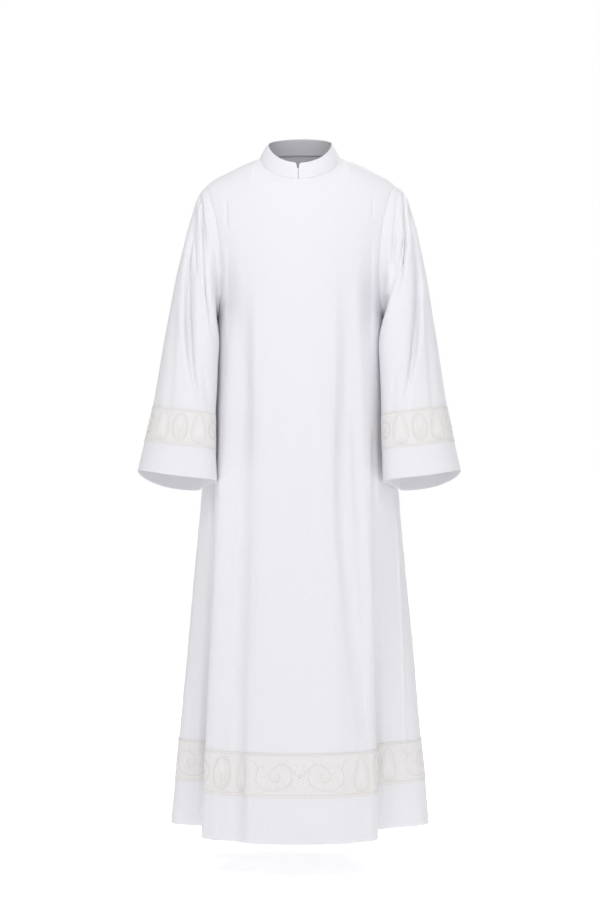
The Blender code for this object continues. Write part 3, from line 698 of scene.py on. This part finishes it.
def collar():
    """The collar, slightly crowned between its foot and its top edge."""
    slit = math.degrees(math.asin(SLIT_X / NECK_HALF_WIDTH))
    half, corner = at_slit(0.5 * SLIT_WIDTH), at_slit(CORNER_RADIUS)
    near = corner * (1 - np.cos(np.linspace(0, math.pi / 2, CORNER_ROUND + 1)))[:-1]
    span = 360.0 - 2 * half
    middle = np.linspace(corner, span - corner, COLLAR_ROUND - 2 * CORNER_ROUND + 1)
    along = np.concatenate([near, middle, span - near[::-1]])
    end = np.clip(np.minimum(along, span - along) / corner, 0, 1)
    corner_drop = CORNER_RADIUS * (1 - np.sqrt(1 - (1 - end) ** 2))
    parting = np.zeros(len(along))
    for side, width in ((along, NOTCH_LEFT), (span - along, -NOTCH_RIGHT)):
        parting += at_slit(width) * (1 - ease(side / at_slit(NOTCH_REACH)))
    rows = []
    for share in 1 - (1 - np.linspace(0.0, 1.0, COLLAR_UP + 1)) ** COLLAR_CROWDS:
        opens = 1 - ease(((1 - share) * FRONT_HEIGHT - NOTCH_DEPTH) / NOTCH_CLOSES)
        angle = slit + half + along + opens * parting
        foot, top = neckline(angle), collar_top(angle)
        height = np.linalg.norm(top - foot, axis=-1)
        at = COLLAR_SINK + (height - COLLAR_SINK - corner_drop) * share
        rows.append(foot + (top - foot) * (at / height)[:, None])
    grid = np.array(rows)
    grid[..., 2] += SHOULDER_TILT * grid[..., 0]
    away = np.minimum(from_edge(grid, 0), from_edge(grid, 0, 1))
    depth = COLLAR_UNEVEN * unevenness(COLLAR_FINER * grid) - COLLAR_CROWN * ease(away / CROWN_REACH)
    depth -= LAP_LIFT * (1 - ease(along / at_slit(LAP_REACH)))
    return dressed(grid, False, depth)


# ------------------------------ meshes
class Stuff:
    """Vertices, faces and cloth coordinates (metres along and across) gathered for one piece."""

    def __init__(self):
        self.points, self.faces, self.uvs, self.count = [], [], [], 0

    def add(self, points, faces, uvs):
        self.points.append(points.reshape(-1, 3))
        self.faces.append(faces + self.count)
        self.uvs.append(uvs)
        self.count += len(self.points[-1])

    def patch(self, grid, uv):
        """An open grid of points with their cloth coordinates, its columns running right to left."""
        rows, columns = grid.shape[:2]
        low = (np.arange(rows - 1)[:, None] * columns + np.arange(columns - 1)).ravel()
        quads = np.stack([low, low + 1, low + columns + 1, low + columns], 1)
        self.add(grid, quads, uv.reshape(-1, 2)[quads])

    def piece(self, name, material, slot):
        mesh = bpy.data.meshes.new(name)
        faces = np.concatenate(self.faces)
        mesh.from_pydata(np.concatenate(self.points).tolist(), [], faces.tolist())
        layer = mesh.uv_layers.new(name="cloth")
        layer.data.foreach_set("uv", np.concatenate(self.uvs).ravel().astype(np.float32))
        mesh.shade_smooth()
        mesh.materials.append(material)
        obj = bpy.data.objects.new(name, mesh)
        bpy.context.scene.collection.objects.link(obj)
        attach(obj, "root")
        return obj


def shell(grid, closed, wall, lips):
    """A closed thin wall on a grid.  `wall` is how far out its outer and inner face lie, and `lips`
    how far its START, END, LEFT and RIGHT edges bulge."""
    rows, columns = grid.shape[:2]
    count = rows * columns
    normals = grid_normals(grid, closed)
    wrapped = np.concatenate([grid, grid[:, :1]], 1) if closed else grid
    uv = np.stack([from_edge(wrapped, 1), from_edge(wrapped, 0)], -1)
    uv[..., 0] -= 0.5 * uv[:, -1:, 0]
    r, c = np.meshgrid(np.arange(rows - 1), np.arange(wrapped.shape[1] - 1), indexing="ij")
    corners = (r, c), (r, c + 1), (r + 1, c + 1), (r + 1, c)
    quads = np.stack([i * columns + j % columns for i, j in corners], -1).reshape(-1, 4)
    quad_uvs = np.stack([uv[i, j] for i, j in corners], -2).reshape(-1, 4, 2)
    points = [(grid + normals * side).reshape(-1, 3) for side in wall]
    faces = [quads, quads[:, ::-1] + count]
    uvs = [quad_uvs, quad_uvs[:, ::-1]]

    across = np.arange(columns)
    outward = np.zeros_like(grid)
    bulge = np.zeros((rows, columns))
    step = unit(np.gradient(grid, axis=0))
    for at, sign, lip in ((0, -1, lips[0]), (rows - 1, 1, lips[1])):
        outward[at] += sign * step[at]
        bulge[at] = lip
    if closed:
        loops = [across, (rows - 1) * columns + across[::-1]]
    else:
        step = unit(np.gradient(grid, axis=1))
        for at, sign, lip in ((0, -1, lips[2]), (columns - 1, 1, lips[3])):
            outward[:, at] += sign * step[:, at]
            bulge[:, at] = np.where(bulge[:, at] > 0, np.minimum(bulge[:, at], lip), lip)
        up = np.arange(1, rows) * columns
        loops = [np.concatenate([across, up + columns - 1, up[-1] + across[-2::-1], up[-2::-1]])]
    outward = bulge.reshape(-1, 1) * unit(outward).reshape(-1, 3)
    middle = (points[0] + points[1]) / 2
    half = 0.5 * (wall[0] - wall[1]) * normals.reshape(-1, 3)
    point_uv = uv[:, :columns].reshape(-1, 2)
    total = 2 * count
    for loop in loops:
        rings = [loop]
        for turn in np.radians((45, 90, 135)):
            ring = middle[loop] + math.cos(turn) * half[loop] + math.sin(turn) * outward[loop]
            points.append(ring)
            rings.append(total + np.arange(len(loop)))
            total += len(loop)
        rings.append(loop + count)
        there, here = point_uv[np.roll(loop, -1)], point_uv[loop]
        for a, b in zip(rings[:-1], rings[1:]):
            faces.append(np.stack([np.roll(a, -1), a, b, np.roll(b, -1)], 1))
            uvs.append(np.stack([there, here, here, there], 1))
    stuff = Stuff()
    stuff.add(np.concatenate(points), np.concatenate(faces), np.concatenate(uvs))
    return stuff


# ------------------------------ the figured bands
CORD_WIDTH, CORD_HEIGHT, CORD_STEP = 0.0011, 0.00055, 0.0017
CORD_ACROSS = np.array([1.0, 0.72, 0.0, -0.72, -1.0])  # a cord's rounded section: places across it
CORD_RISE = np.array([0.0, 0.74, 1.0, 0.74, 0.0])      # and how high it is there
EDGE_WIDTH, EDGE_HEIGHT = 0.00075, 0.0004              # the finer, darker cord along a leaf's lower side, partly an outline and partly painted shadow
LEAF_HEIGHT = 0.00080
LEAF_ALONG, LEAF_ACROSS = 11, 7
LEAF_ENDS = 0.02, 0.98
LEAF_FULLNESS = 0.85      # a leaf is widest a little before its middle
LEAF_PADDING = 0.4        # how soon its padding rises from the ends
EDGE_POINTS = 8
GROOVE_DEPTH, GROOVE_WIDTH = 0.4, 0.2   # along a leaf's middle, as shares of its height and width
SEAM_CLEAR, LEAF_CLEAR = 0.002, 0.003   # cords and leaves stay this far off the side seams
BURIED = 0.00012          # the foot of a raised stitch lies under the band's face
BORDER_STEP, BORDER_ACROSS = 0.004, 7   # how finely a braid along the band's edge is drawn
BORDER_FLATNESS = 4
BAND_REPEATS = 2


class Ribbon:
    """The face of a band, addressed by metres along it and up it.  `middle` is the share of the way
    along at which its figures are centred."""

    def __init__(self, grid, closed, middle):
        normals = grid_normals(grid, closed)
        if closed:
            grid, normals = (np.concatenate([field, field[:, :1]], 1) for field in (grid, normals))
        self.grid, self.normals, self.closed = grid, normals, closed
        self.height = from_edge(grid, 0)[-1].mean()
        run = from_edge(grid, 1)[grid.shape[0] // 2]
        self.length = run[-1]
        self.run = run - np.interp(middle * (len(run) - 1), np.arange(len(run)), run)

    def clear(self, s, room):
        """Whether places along the band are this far from the seams at its ends."""
        return self.closed | (s > self.run[0] + room) & (s < self.run[-1] - room)

    def parts_on(self, line):
        """The stretches of a line that lie on the band, clear of the seams at its ends."""
        on = self.clear(line[:, 0], SEAM_CLEAR)
        parts = np.split(line, np.flatnonzero(np.diff(on.astype(int))) + 1)
        return [part for part in parts if len(part) > 2 and self.clear(part[0, 0], SEAM_CLEAR)]

    def place(self, s, y, lift):
        """Points at s along the band, y up it, in metres, lifted off its face."""
        if self.closed:
            s = (s - self.run[0]) % self.length + self.run[0]
        s = np.clip(s, self.run[0], self.run[-1])
        rows, columns = self.grid.shape[:2]
        c = np.interp(s, self.run, np.arange(columns))
        r = np.clip(y / self.height, 0.0, 1.0) * (rows - 1)
        ci, ri = np.minimum(c.astype(int), columns - 2), np.minimum(r.astype(int), rows - 2)
        u, v = (c - ci)[..., None], (r - ri)[..., None]

        def mixed(field):
            low = field[ri, ci] * (1 - u) + field[ri, ci + 1] * u
            high = field[ri + 1, ci] * (1 - u) + field[ri + 1, ci + 1] * u
            return low * (1 - v) + high * v

        return mixed(self.grid) + unit(mixed(self.normals)) * (GROUND_WALL[0] + lift)[..., None]


def smooth(points, closed=False):
    """A Catmull-Rom line through points in millimetres, in steps of about CORD_STEP."""
    p = np.array(points, dtype=float)
    ends = (p[-1:], p[:2]) if closed else (2 * p[:1] - p[1:2], 2 * p[-1:] - p[-2:-1])
    p = np.concatenate([ends[0], p, ends[1]])
    line = []
    for a, b, c, d in zip(p[:-3], p[1:-2], p[2:-1], p[3:]):
        count = max(2, int(np.linalg.norm(c - b) * MM / CORD_STEP + 0.5))
        t = np.linspace(0, 1, count, endpoint=False)[:, None]
        curve = (2 * a - 5 * b + 4 * c - d) * t**2 + (3 * b - a - 3 * c + d) * t**3
        line.append(0.5 * (2 * b + (c - a) * t + curve))
    line = np.concatenate(line)
    return np.concatenate([line, line[:1] if closed else p[-2:-1]])


def ellipse(x, y, a, b, count=24):
    turn = np.arange(count) * 2 * math.pi / count
    return smooth(np.stack([x + a * np.sin(turn), y + b * np.cos(turn)], 1), closed=True)


def beside(way):
    """The directions a quarter turn to the left of ways along a band's face."""
    way = unit(way)
    return np.stack([-way[..., 1], way[..., 0]], -1)


def sew_cord(stuff, ribbon, line, width=CORD_WIDTH, height=CORD_HEIGHT):
    """A raised cord along a line of (along, up) points in metres."""
    way = np.gradient(line, axis=0)
    if np.allclose(line[0], line[-1]):
        way[0] = way[-1] = way[0] + way[-1]
    across = 0.5 * width * CORD_ACROSS
    lift = height * CORD_RISE - BURIED * (CORD_RISE == 0)
    at = line[:, None] + beside(way)[:, None] * across[None, :, None]
    run = np.concatenate([[0], np.cumsum(np.linalg.norm(np.diff(line, axis=0), axis=1))])
    uv = np.stack(np.broadcast_arrays(run[:, None], across), -1)
    stuff.patch(ribbon.place(at[..., 0], at[..., 1], np.broadcast_to(lift, at.shape[:2])), uv)


def on_leaf(leaf, t, v):
    """Points at shares t of a leaf's length and v of its half width, and how far out they are."""
    base, tip, width, bend = leaf
    out = width * np.sin(math.pi * t**LEAF_FULLNESS) ** LEAF_FULLNESS * v
    off = out + bend * 4 * t * (1 - t)
    return base + (tip - base) * t[..., None] + beside(tip - base) * off[..., None], out


def sew_leaf(stuff, ribbon, leaf):
    """A raised leaf or petal, padded, with a groove down its middle."""
    t = np.linspace(0, 1, LEAF_ALONG)[:, None]
    v = np.linspace(1, -1, LEAF_ACROSS)[None, :]
    at, out = on_leaf(leaf, t, v)
    body = np.sqrt(np.clip(1 - v**2, 0, 1)) * np.sin(math.pi * np.clip(t, *LEAF_ENDS)) ** LEAF_PADDING
    lift = LEAF_HEIGHT * body * (1 - GROOVE_DEPTH * np.exp(-((v / GROOVE_WIDTH) ** 2))) - BURIED
    uv = np.stack(np.broadcast_arrays(t * np.linalg.norm(leaf[1] - leaf[0]), out), -1)
    stuff.patch(ribbon.place(at[..., 0], at[..., 1], lift), uv)


def sew_leaf_shadow_cord(stuff, ribbon, leaf):
    """A fine, darker cord along a leaf's lower side: partly an outline, partly painted shadow under the
    leaf.
    """
    lower = -math.copysign(1, leaf[1][0] - leaf[0][0])
    line, _ = on_leaf(leaf, np.linspace(*LEAF_ENDS, EDGE_POINTS), lower)
    sew_cord(stuff, ribbon, line, EDGE_WIDTH, EDGE_HEIGHT)


# The figures, in millimetres on a band 90 high, each about its own upright axis.  A leaf is the x
# and y of its base and of its tip, its half width and how far it bends.
FIGURE_HEIGHT, MIDDLE = 90.0, 45.0
OVAL_LEAVES = (
    (1, 21, 9, 27, 2.3, 0.6), (1, 27, 10.5, 36, 2.5, 0.8), (1, 34, 9.5, 46, 2.5, 1.0),
    (1.5, 43, 8, 60, 2.2, 1.2),
)
PALMETTE_LEAVES = (
    (1.5, 20, 8.5, 68, 2.8, -2.0), (2.5, 18, 14, 56, 2.8, -2.4), (3.5, 16, 15.5, 40, 2.6, -2.2),
    (4, 14, 14, 25, 2.1, -1.2),
)
PALMETTE_ARCH = [(3.5, 9.5), (11, 11), (18, 20), (19.5, 34), (18, 50), (12.5, 66), (5, 78), (0, 83)]
SPRAY_LEAVES = (
    (14, 53, 9, 70, 2.8, 1.2), (22, 61, 27, 78, 2.8, -1.2), (34, 67, 45, 80, 2.8, -1.6),
    (39, 67, 33, 53, 2.4, 1.0), (52, 62, 68, 70, 3.0, -1.6), (61, 52, 79, 57, 3.0, -1.6),
    (64, 42, 79, 44, 2.6, 1.2), (17, 44, 5, 30, 2.6, 1.2), (19, 34, 8, 17, 2.8, 1.2),
    (25, 25, 21, 9, 2.4, 0.6), (28, 23, 35, 36, 2.4, -1.0), (42, 16, 48, 28, 2.4, -1.0),
    (56, 14, 63, 26, 2.4, -1.0), (70, 16, 84, 11, 2.6, 0.8), (82, 22, 98, 24, 2.8, -1.2),
    (88, 30, 95, 46, 2.8, 1.2),
)
SPRAY_STEMS = (
    [(9, 47), (15, 54), (24, 63), (38, 68), (53, 61), (62, 48), (60, 36), (50, 31), (42, 36), (42, 45),
     (48, 49)],
    [(20, 58), (17, 42), (22, 28), (36, 18), (54, 14), (72, 16), (85, 25), (91, 40), (88, 56), (80, 64),
     (73, 60)],
    [(88, 56), (93, 68), (101, 75)],
)
SPRIG_LEAVES = (
    (1, 14, 13, 18, 2.6, 0.8), (1, 24, 15, 32, 2.8, 1.0), (1, 37, 16, 47, 2.8, 1.0),
    (1, 50, 13, 62, 2.6, 1.0), (1, 62, 8, 74, 2.2, 0.8),
)


def mirrored(leaves):
    return [*leaves] + [(-a, b, -c, d, width, -bend) for a, b, c, d, width, bend in leaves]


def petals(x, y, inner, outer, width, count, start=0.0):
    """Leaves all round a point, from an inner to an outer radius."""
    turns = 2 * math.pi * np.arange(count) / count + start
    ways = [(math.sin(turn), math.cos(turn)) for turn in turns]
    return [(x + inner * s, y + inner * c, x + outer * s, y + outer * c, width, 0.0) for s, c in ways]


def oval_figure():
    rings = [ellipse(0, MIDDLE, 18.5, 34.5), ellipse(0, MIDDLE, 15.6, 30.8)]
    return rings + [smooth([(0, 18), (0, 30), (0, 44)])], mirrored(OVAL_LEAVES) + [(0, 42, 0, 70, 4.2, 0.0)]


def palmette_figure():
    arch = smooth(PALMETTE_ARCH)
    cords = [arch, arch * [-1, 1], ellipse(0, 10.5, 3.6, 2.6, 12)]
    return cords, mirrored(PALMETTE_LEAVES) + [(0, 19, 0, 78, 4.2, 0.0)]


def rosette_figure():
    cords = [ellipse(0, MIDDLE, r, r, count) for r, count in ((21.5, 24), (18.4, 24), (4.6, 12))]
    leaves = petals(0, MIDDLE, 5, 17, 3.7, 8, math.pi / 8)
    for end in (-1, 1):
        foot = MIDDLE + end * 25
        for side in (-1, 1):
            leaves.append((side * 2, foot, side * 17, foot + end * 8, 2.4, side * end * 1.5))
        leaves.append((0, foot, 0, foot + end * 12, 2.6, 0.0))
    return cords, leaves + [(-3.4, MIDDLE, 3.4, MIDDLE, 3.4, 0.0)]


def spray_figure():
    cords = [ellipse(0, MIDDLE, 3.6, 3.6, 12)]
    for stem in SPRAY_STEMS:
        line = smooth(stem)
        cords += [line, line * [-1, 1]]
    leaves = mirrored(SPRAY_LEAVES) + [(-2.6, MIDDLE, 2.6, MIDDLE, 2.6, 0.0)]
    leaves += petals(0, MIDDLE, 3.3, 11, 3.2, 6)
    for x in (50, -50):
        leaves += petals(x, 41, 1.95, 6.5, 2.0, 5)
    return cords, leaves


def sprig_figure():
    return [smooth([(0, 9), (0, 40), (0, 72)])], mirrored(SPRIG_LEAVES) + [(0, 68, 0, 82, 2.6, 0.0)]


# Where the figures stand, in millimetres from the middle of a repeat to its end.
HEM_FIGURES = (0, spray_figure), (128, palmette_figure), (177, oval_figure), (223, rosette_figure)
SLEEVE_FIGURES = (0, oval_figure), (42, palmette_figure), (87, rosette_figure), (132, sprig_figure)
# Flat braids along the band's edges, as (low, high, lift), and the cords beside them.
BORDERS = (0.4, 4.6, 0.55), (86.6, 89.6, 0.50)
BORDER_CORDS = 0.5, 5.2, 86.0, 89.5


def stations(figures, half, closed):
    """Each figure on a band with its place along it: the first in the middle of every repeat, the
    last where repeats meet, and the others to both sides of the first."""
    (_, first), *between, (end, last) = figures
    start = 0 if closed else -BAND_REPEATS
    for k in range(start, start + 2 * BAND_REPEATS + (not closed)):
        if k % 2:
            yield last, k * half
            continue
        yield first, k * half
        for at, figure in between:
            for side in (1, -1):
                yield figure, (k + side * at / end) * half


def figured_band(name, grid, closed, middle, figures):
    """A band's ground with its raised figures, borders and outlines."""
    ribbon = Ribbon(grid, closed, middle)
    scale = ribbon.height / FIGURE_HEIGHT
    fills, outlines = Stuff(), Stuff()
    s = np.linspace(ribbon.run[0], ribbon.run[-1], int(ribbon.length / BORDER_STEP) + 1)
    v = np.linspace(1, -1, BORDER_ACROSS)
    for low, high, rise in BORDERS:
        at, up = np.meshgrid(s, scale * ((low + high) / 2 + v * (high - low) / 2), indexing="ij")
        lift = MM * rise * (1 - np.abs(v) ** BORDER_FLATNESS) - BURIED
        fills.patch(ribbon.place(at, up, np.broadcast_to(lift, at.shape)), np.stack([at, up], -1))
    for y in BORDER_CORDS:
        sew_cord(outlines, ribbon, np.stack([s, np.full_like(s, y * scale)], 1))
    for figure, centre in stations(figures, 0.5 * ribbon.length / BAND_REPEATS, closed):
        cords, leaves = figure()
        for line in cords:
            for part in ribbon.parts_on(line * scale + [centre, 0]):
                sew_cord(outlines, ribbon, part)
        for *ends, width, bend in leaves:
            base, tip = np.array(ends).reshape(2, 2) * scale + [centre, 0]
            leaf = base, tip, width * scale, bend * scale
            if np.all(ribbon.clear(np.array([base[0], tip[0]]), LEAF_CLEAR)):
                sew_leaf(fills, ribbon, leaf)
                # a slanting leaf gets a darker cord on its lower side, an outline that is also painted
                # shadow
                if abs(tip[0] - base[0]) > MM:
                    sew_leaf_shadow_cord(outlines, ribbon, leaf)
    wall = shell(grid, closed, GROUND_WALL, (SEAM_LIP,) * 4)
    ground = wall.piece(f"galloon_{name}", GALLOON_GROUND, "galloon")
    raised = fills.piece(f"figures_{name}", GALLOON_SATIN, "galloon")
    lines = outlines.piece(f"outlines_{name}", GALLOON_CORD, "galloon")
    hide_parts(f"band_{name}")


# ------------------------------ materials
SHEEN_ROUGHNESS, SPECULAR = 0.45, 0.35
WEAVE_SHADE = 0.35         # how much the cloth's tone darkens in the weave's grooves, painted shade


def put(tree, socket, value):
    """Links an output to a socket, or gives the socket a plain value."""
    if isinstance(value, bpy.types.NodeSocket):
        tree.links.new(value, socket)
    else:
        socket.default_value = value


def add(tree, kind, *values, **named):
    """A node with its inputs in order, and settings and inputs by name, _ standing for a space."""
    node = tree.nodes.new(kind)
    for name, value in named.items():
        if name.replace("_", " ") in node.inputs:
            put(tree, node.inputs[name.replace("_", " ")], value)
        else:
            setattr(node, name, value)
    for socket, value in zip(node.inputs, values):
        put(tree, socket, value)
    return node


def maths(tree, operation, *values):
    return add(tree, "ShaderNodeMath", *values, operation=operation).outputs[0]


def tones(tree, fac, *stops):
    """A colour ramp through (position, colour) stops."""
    ramp = add(tree, "ShaderNodeValToRGB", fac)
    for element, (position, colour) in zip(ramp.color_ramp.elements, stops):
        element.position = position
        element.color = (*colour, 1.0)
    return ramp.outputs["Color"]


def new_material(name, roughness, sheen):
    material = bpy.data.materials.new(name)
    material.use_nodes = True
    tree = material.node_tree
    shader = tree.nodes["Principled BSDF"].inputs
    shader["Roughness"].default_value = roughness
    shader["Sheen Weight"].default_value = sheen
    shader["Sheen Roughness"].default_value = SHEEN_ROUGHNESS
    shader["Specular IOR Level"].default_value = SPECULAR
    return material, tree, shader


def cloth_material(name, light, dark, roughness, sheen, weaves, weave_depth, slub, slub_depth):
    """Woven cloth: thread relief, soft unevenness, and a slight change of tone with both: painted shade,
    darker in the weave's grooves, and darker where the unevenness dips.  `weaves` are (pitch in metres,
    direction, share) on the cloth's own coordinates."""
    material, tree, shader = new_material(name, roughness, sheen)
    place = add(tree, "ShaderNodeTexCoord").outputs["UV"]
    height = 0.0
    for pitch, direction, share in weaves:
        scale = 2 * math.pi / (20 * pitch)  # at scale 1 the bands are 2 pi / 20 apart
        threads = add(tree, "ShaderNodeTexWave", Vector=place, Scale=scale, bands_direction=direction)
        height = maths(tree, "MULTIPLY_ADD", threads.outputs["Fac"], share, height)
    noise = add(tree, "ShaderNodeTexNoise", Vector=place, Scale=slub, Detail=3.0, Roughness=0.55)
    # the tone follows the relief: painted shade in the weave's grooves, darker where the unevenness dips
    tone = maths(tree, "MULTIPLY_ADD", height, WEAVE_SHADE, noise.outputs["Fac"])
    tone = maths(tree, "SUBTRACT", tone, 0.5 * WEAVE_SHADE)
    put(tree, shader["Base Color"], tones(tree, tone, (0.25, dark), (0.75, light)))
    weave = add(tree, "ShaderNodeBump", Strength=0.6, Distance=weave_depth, Height=height)
    uneven = add(
        tree, "ShaderNodeBump", Strength=0.5, Distance=slub_depth,
        Height=noise.outputs["Fac"], Normal=weave.outputs["Normal"],
    )
    put(tree, shader["Normal"], uneven.outputs["Normal"])
    return material


TWILL = cloth_material(
    "twill", (0.817, 0.813, 0.848), (0.792, 0.788, 0.822), 0.62, 0.12,
    ((0.00062, "DIAGONAL", 0.7), (0.00031, "Y", 0.3)), 0.00006, 140.0, 0.0004,
)
GALLOON_GROUND = cloth_material(
    "galloon_ground", (0.822, 0.804, 0.806), (0.780, 0.762, 0.762), 0.58, 0.1,
    ((0.0009, "X", 0.5), (0.0011, "Y", 0.5)), 0.00012, 220.0, 0.0003,
)
GALLOON_SATIN = cloth_material(
    "galloon_satin", (0.842, 0.828, 0.830), (0.812, 0.797, 0.798), 0.42, 0.08,
    ((0.0005, "X", 0.7), (0.0003, "Y", 0.3)), 0.00008, 300.0, 0.0002,
)
GALLOON_CORD = cloth_material(
    "galloon_cord", (0.757, 0.716, 0.696), (0.680, 0.632, 0.608), 0.5, 0.1,
    ((0.0011, "DIAGONAL", 0.8), (0.0004, "X", 0.2)), 0.00015, 300.0, 0.0002,
)


# ------------------------------ the robe
FACES = {"front": -1, "back": +1}
FRONT_OF_SLEEVE = {"right": 0.25, "left": 0.75}  # as a share of the way round its band


def sew_cloth(name, grid, closed, wall, lips):
    """A cloth piece in place of its CAD solid."""
    piece = shell(grid, closed, wall, lips).piece(f"cloth_{name}", TWILL, "twill")
    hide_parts(name)
    return piece


def padded(start, end, count):
    """Even places from start to end and one beyond each, which give the edges their true normals."""
    return start + (end - start) / count * np.arange(-1, count + 2)


def make_robe():
    skirt = [(down, 0.0) for down in np.linspace(HEM, UNDERARM, SKIRT_UP + 1)]
    yoke = [(UNDERARM, rise) for rise in 1.0 - np.linspace(1.0, 0.0, YOKE_UP + 1)[1:] ** YOKE_CROWDS]
    for name in FACES:
        grid = panel(name, skirt + yoke, PANEL_ACROSS, (LEFT, RIGHT, END))
        sew_cloth(name, grid, False, CLOTH_WALL, (FREE_LIP, SEAM_LIP, SIDE_LIP, SIDE_LIP))
    shares = np.linspace(0.0, 1.0, SLEEVE_DOWN + 1) ** SLEEVE_CROWDS
    for hand in SLEEVES:
        grid = sleeve(hand, shares, SLEEVE_ROUND, (START,))
        name = f"sleeve_{hand}"
        sew_cloth(name, grid, True, CLOTH_WALL, (SEAM_LIP, FREE_LIP))
    sew_cloth("collar", collar(), False, COLLAR_WALL, COLLAR_LIPS)

    heights = [(down, 0.0) for down in padded(BAND_LOW, BAND_HIGH, HEM_BAND_UP)]
    for name in FACES:
        grid = panel(name, heights, HEM_BAND_ACROSS, (LEFT, RIGHT))[1:-1]
        figured_band(f"hem_{name}", grid, False, 0.5, HEM_FIGURES)
    for hand in SLEEVES:
        grid = sleeve(hand, padded(*BAND_SHARES, SLEEVE_BAND_DOWN), SLEEVE_BAND_ROUND, ())
        grid = grid[1:-1][::-1, ::-1]
        figured_band(f"sleeve_{hand}", grid, True, FRONT_OF_SLEEVE[hand], SLEEVE_FIGURES)


make_robe()


# ------------------------------ studio
FLOOR, FLOOR_SIZE = -1.548, 40.0
ROOM_LIGHT = 0.26
WHITE = (1.0, 1.0, 1.0, 1.0)
LIGHTS = (
    # name, place, height of what it aims at on the axis, size, power
    ("left", (-1.3, -4.5, 1.7), -0.4, 1.2, 37.5),
    ("right", (1.1, -4.6, 1.6), -0.4, 1.2, 32.0),
    ("above", (0.0, -0.9, 3.0), -0.3, 2.0, 54.0),
    ("left side", (-3.4, -0.9, 0.4), -0.5, 1.2, 9.4),
    ("right side", (3.4, -0.9, 0.4), -0.5, 1.2, 9.4),
    ("behind", (1.4, 3.8, 1.8), -0.6, 1.6, 58.0),
)
CAMERA_PLACE = (0.0, -5.0, -0.6424)
SENSOR, LENS = 36.0, 90.81
scene = bpy.context.scene

bpy.ops.mesh.primitive_plane_add(size=FLOOR_SIZE, location=(0.0, 0.0, FLOOR))
floor = bpy.context.object
floor.name = "floor"
paper, tree, shader = new_material("floor_paper", 0.9, 0.0)
grain = add(tree, "ShaderNodeTexNoise", Scale=3.0, Detail=2.0).outputs["Fac"]
put(tree, shader["Base Color"], tones(tree, grain, (0.0, (0.93, 0.93, 0.93)), (1.0, (0.95, 0.95, 0.95))))
# painted light: the floor glows, more so far from the robe, so that it reads white and its shadow stays
# faint
shader["Emission Color"].default_value = WHITE
place = add(tree, "ShaderNodeTexCoord").outputs["Object"]
away = add(tree, "ShaderNodeVectorMath", place, operation="LENGTH").outputs["Value"]
glow = add(tree, "ShaderNodeMapRange", Value=away, From_Min=3.5, From_Max=7.0, To_Min=0.62, To_Max=0.79)
put(tree, shader["Emission Strength"], glow.outputs["Result"])
floor.data.materials.append(paper)

scene.world = bpy.data.worlds.new("studio")
scene.world.use_nodes = True
tree = scene.world.node_tree
room_light = tree.nodes["Background"]
room_light.inputs["Color"].default_value = WHITE
room_light.inputs["Strength"].default_value = ROOM_LIGHT
ground = add(tree, "ShaderNodeBackground", Color=WHITE, Strength=1.0)
seen = add(tree, "ShaderNodeLightPath").outputs["Is Camera Ray"]
both = add(tree, "ShaderNodeMixShader", seen, room_light.outputs[0], ground.outputs[0])
put(tree, tree.nodes["World Output"].inputs["Surface"], both.outputs[0])

for name, spot, aim, size, power in LIGHTS:
    data = bpy.data.lights.new(name, "AREA")
    data.shape = "DISK"
    data.size = size
    data.energy = power
    light = bpy.data.objects.new(name, data)
    scene.collection.objects.link(light)
    light.location = spot
    light.rotation_euler = (Vector((0.0, 0.0, aim)) - Vector(spot)).to_track_quat("-Z", "Y").to_euler()

camera = bpy.data.objects.new("camera", bpy.data.cameras.new("camera"))
scene.collection.objects.link(camera)
camera.location = CAMERA_PLACE
camera.rotation_euler = (math.pi / 2, 0.0, 0.0)
camera.data.sensor_width = SENSOR
camera.data.lens = LENS
scene.camera = camera
scene.view_settings.view_transform = "Standard"
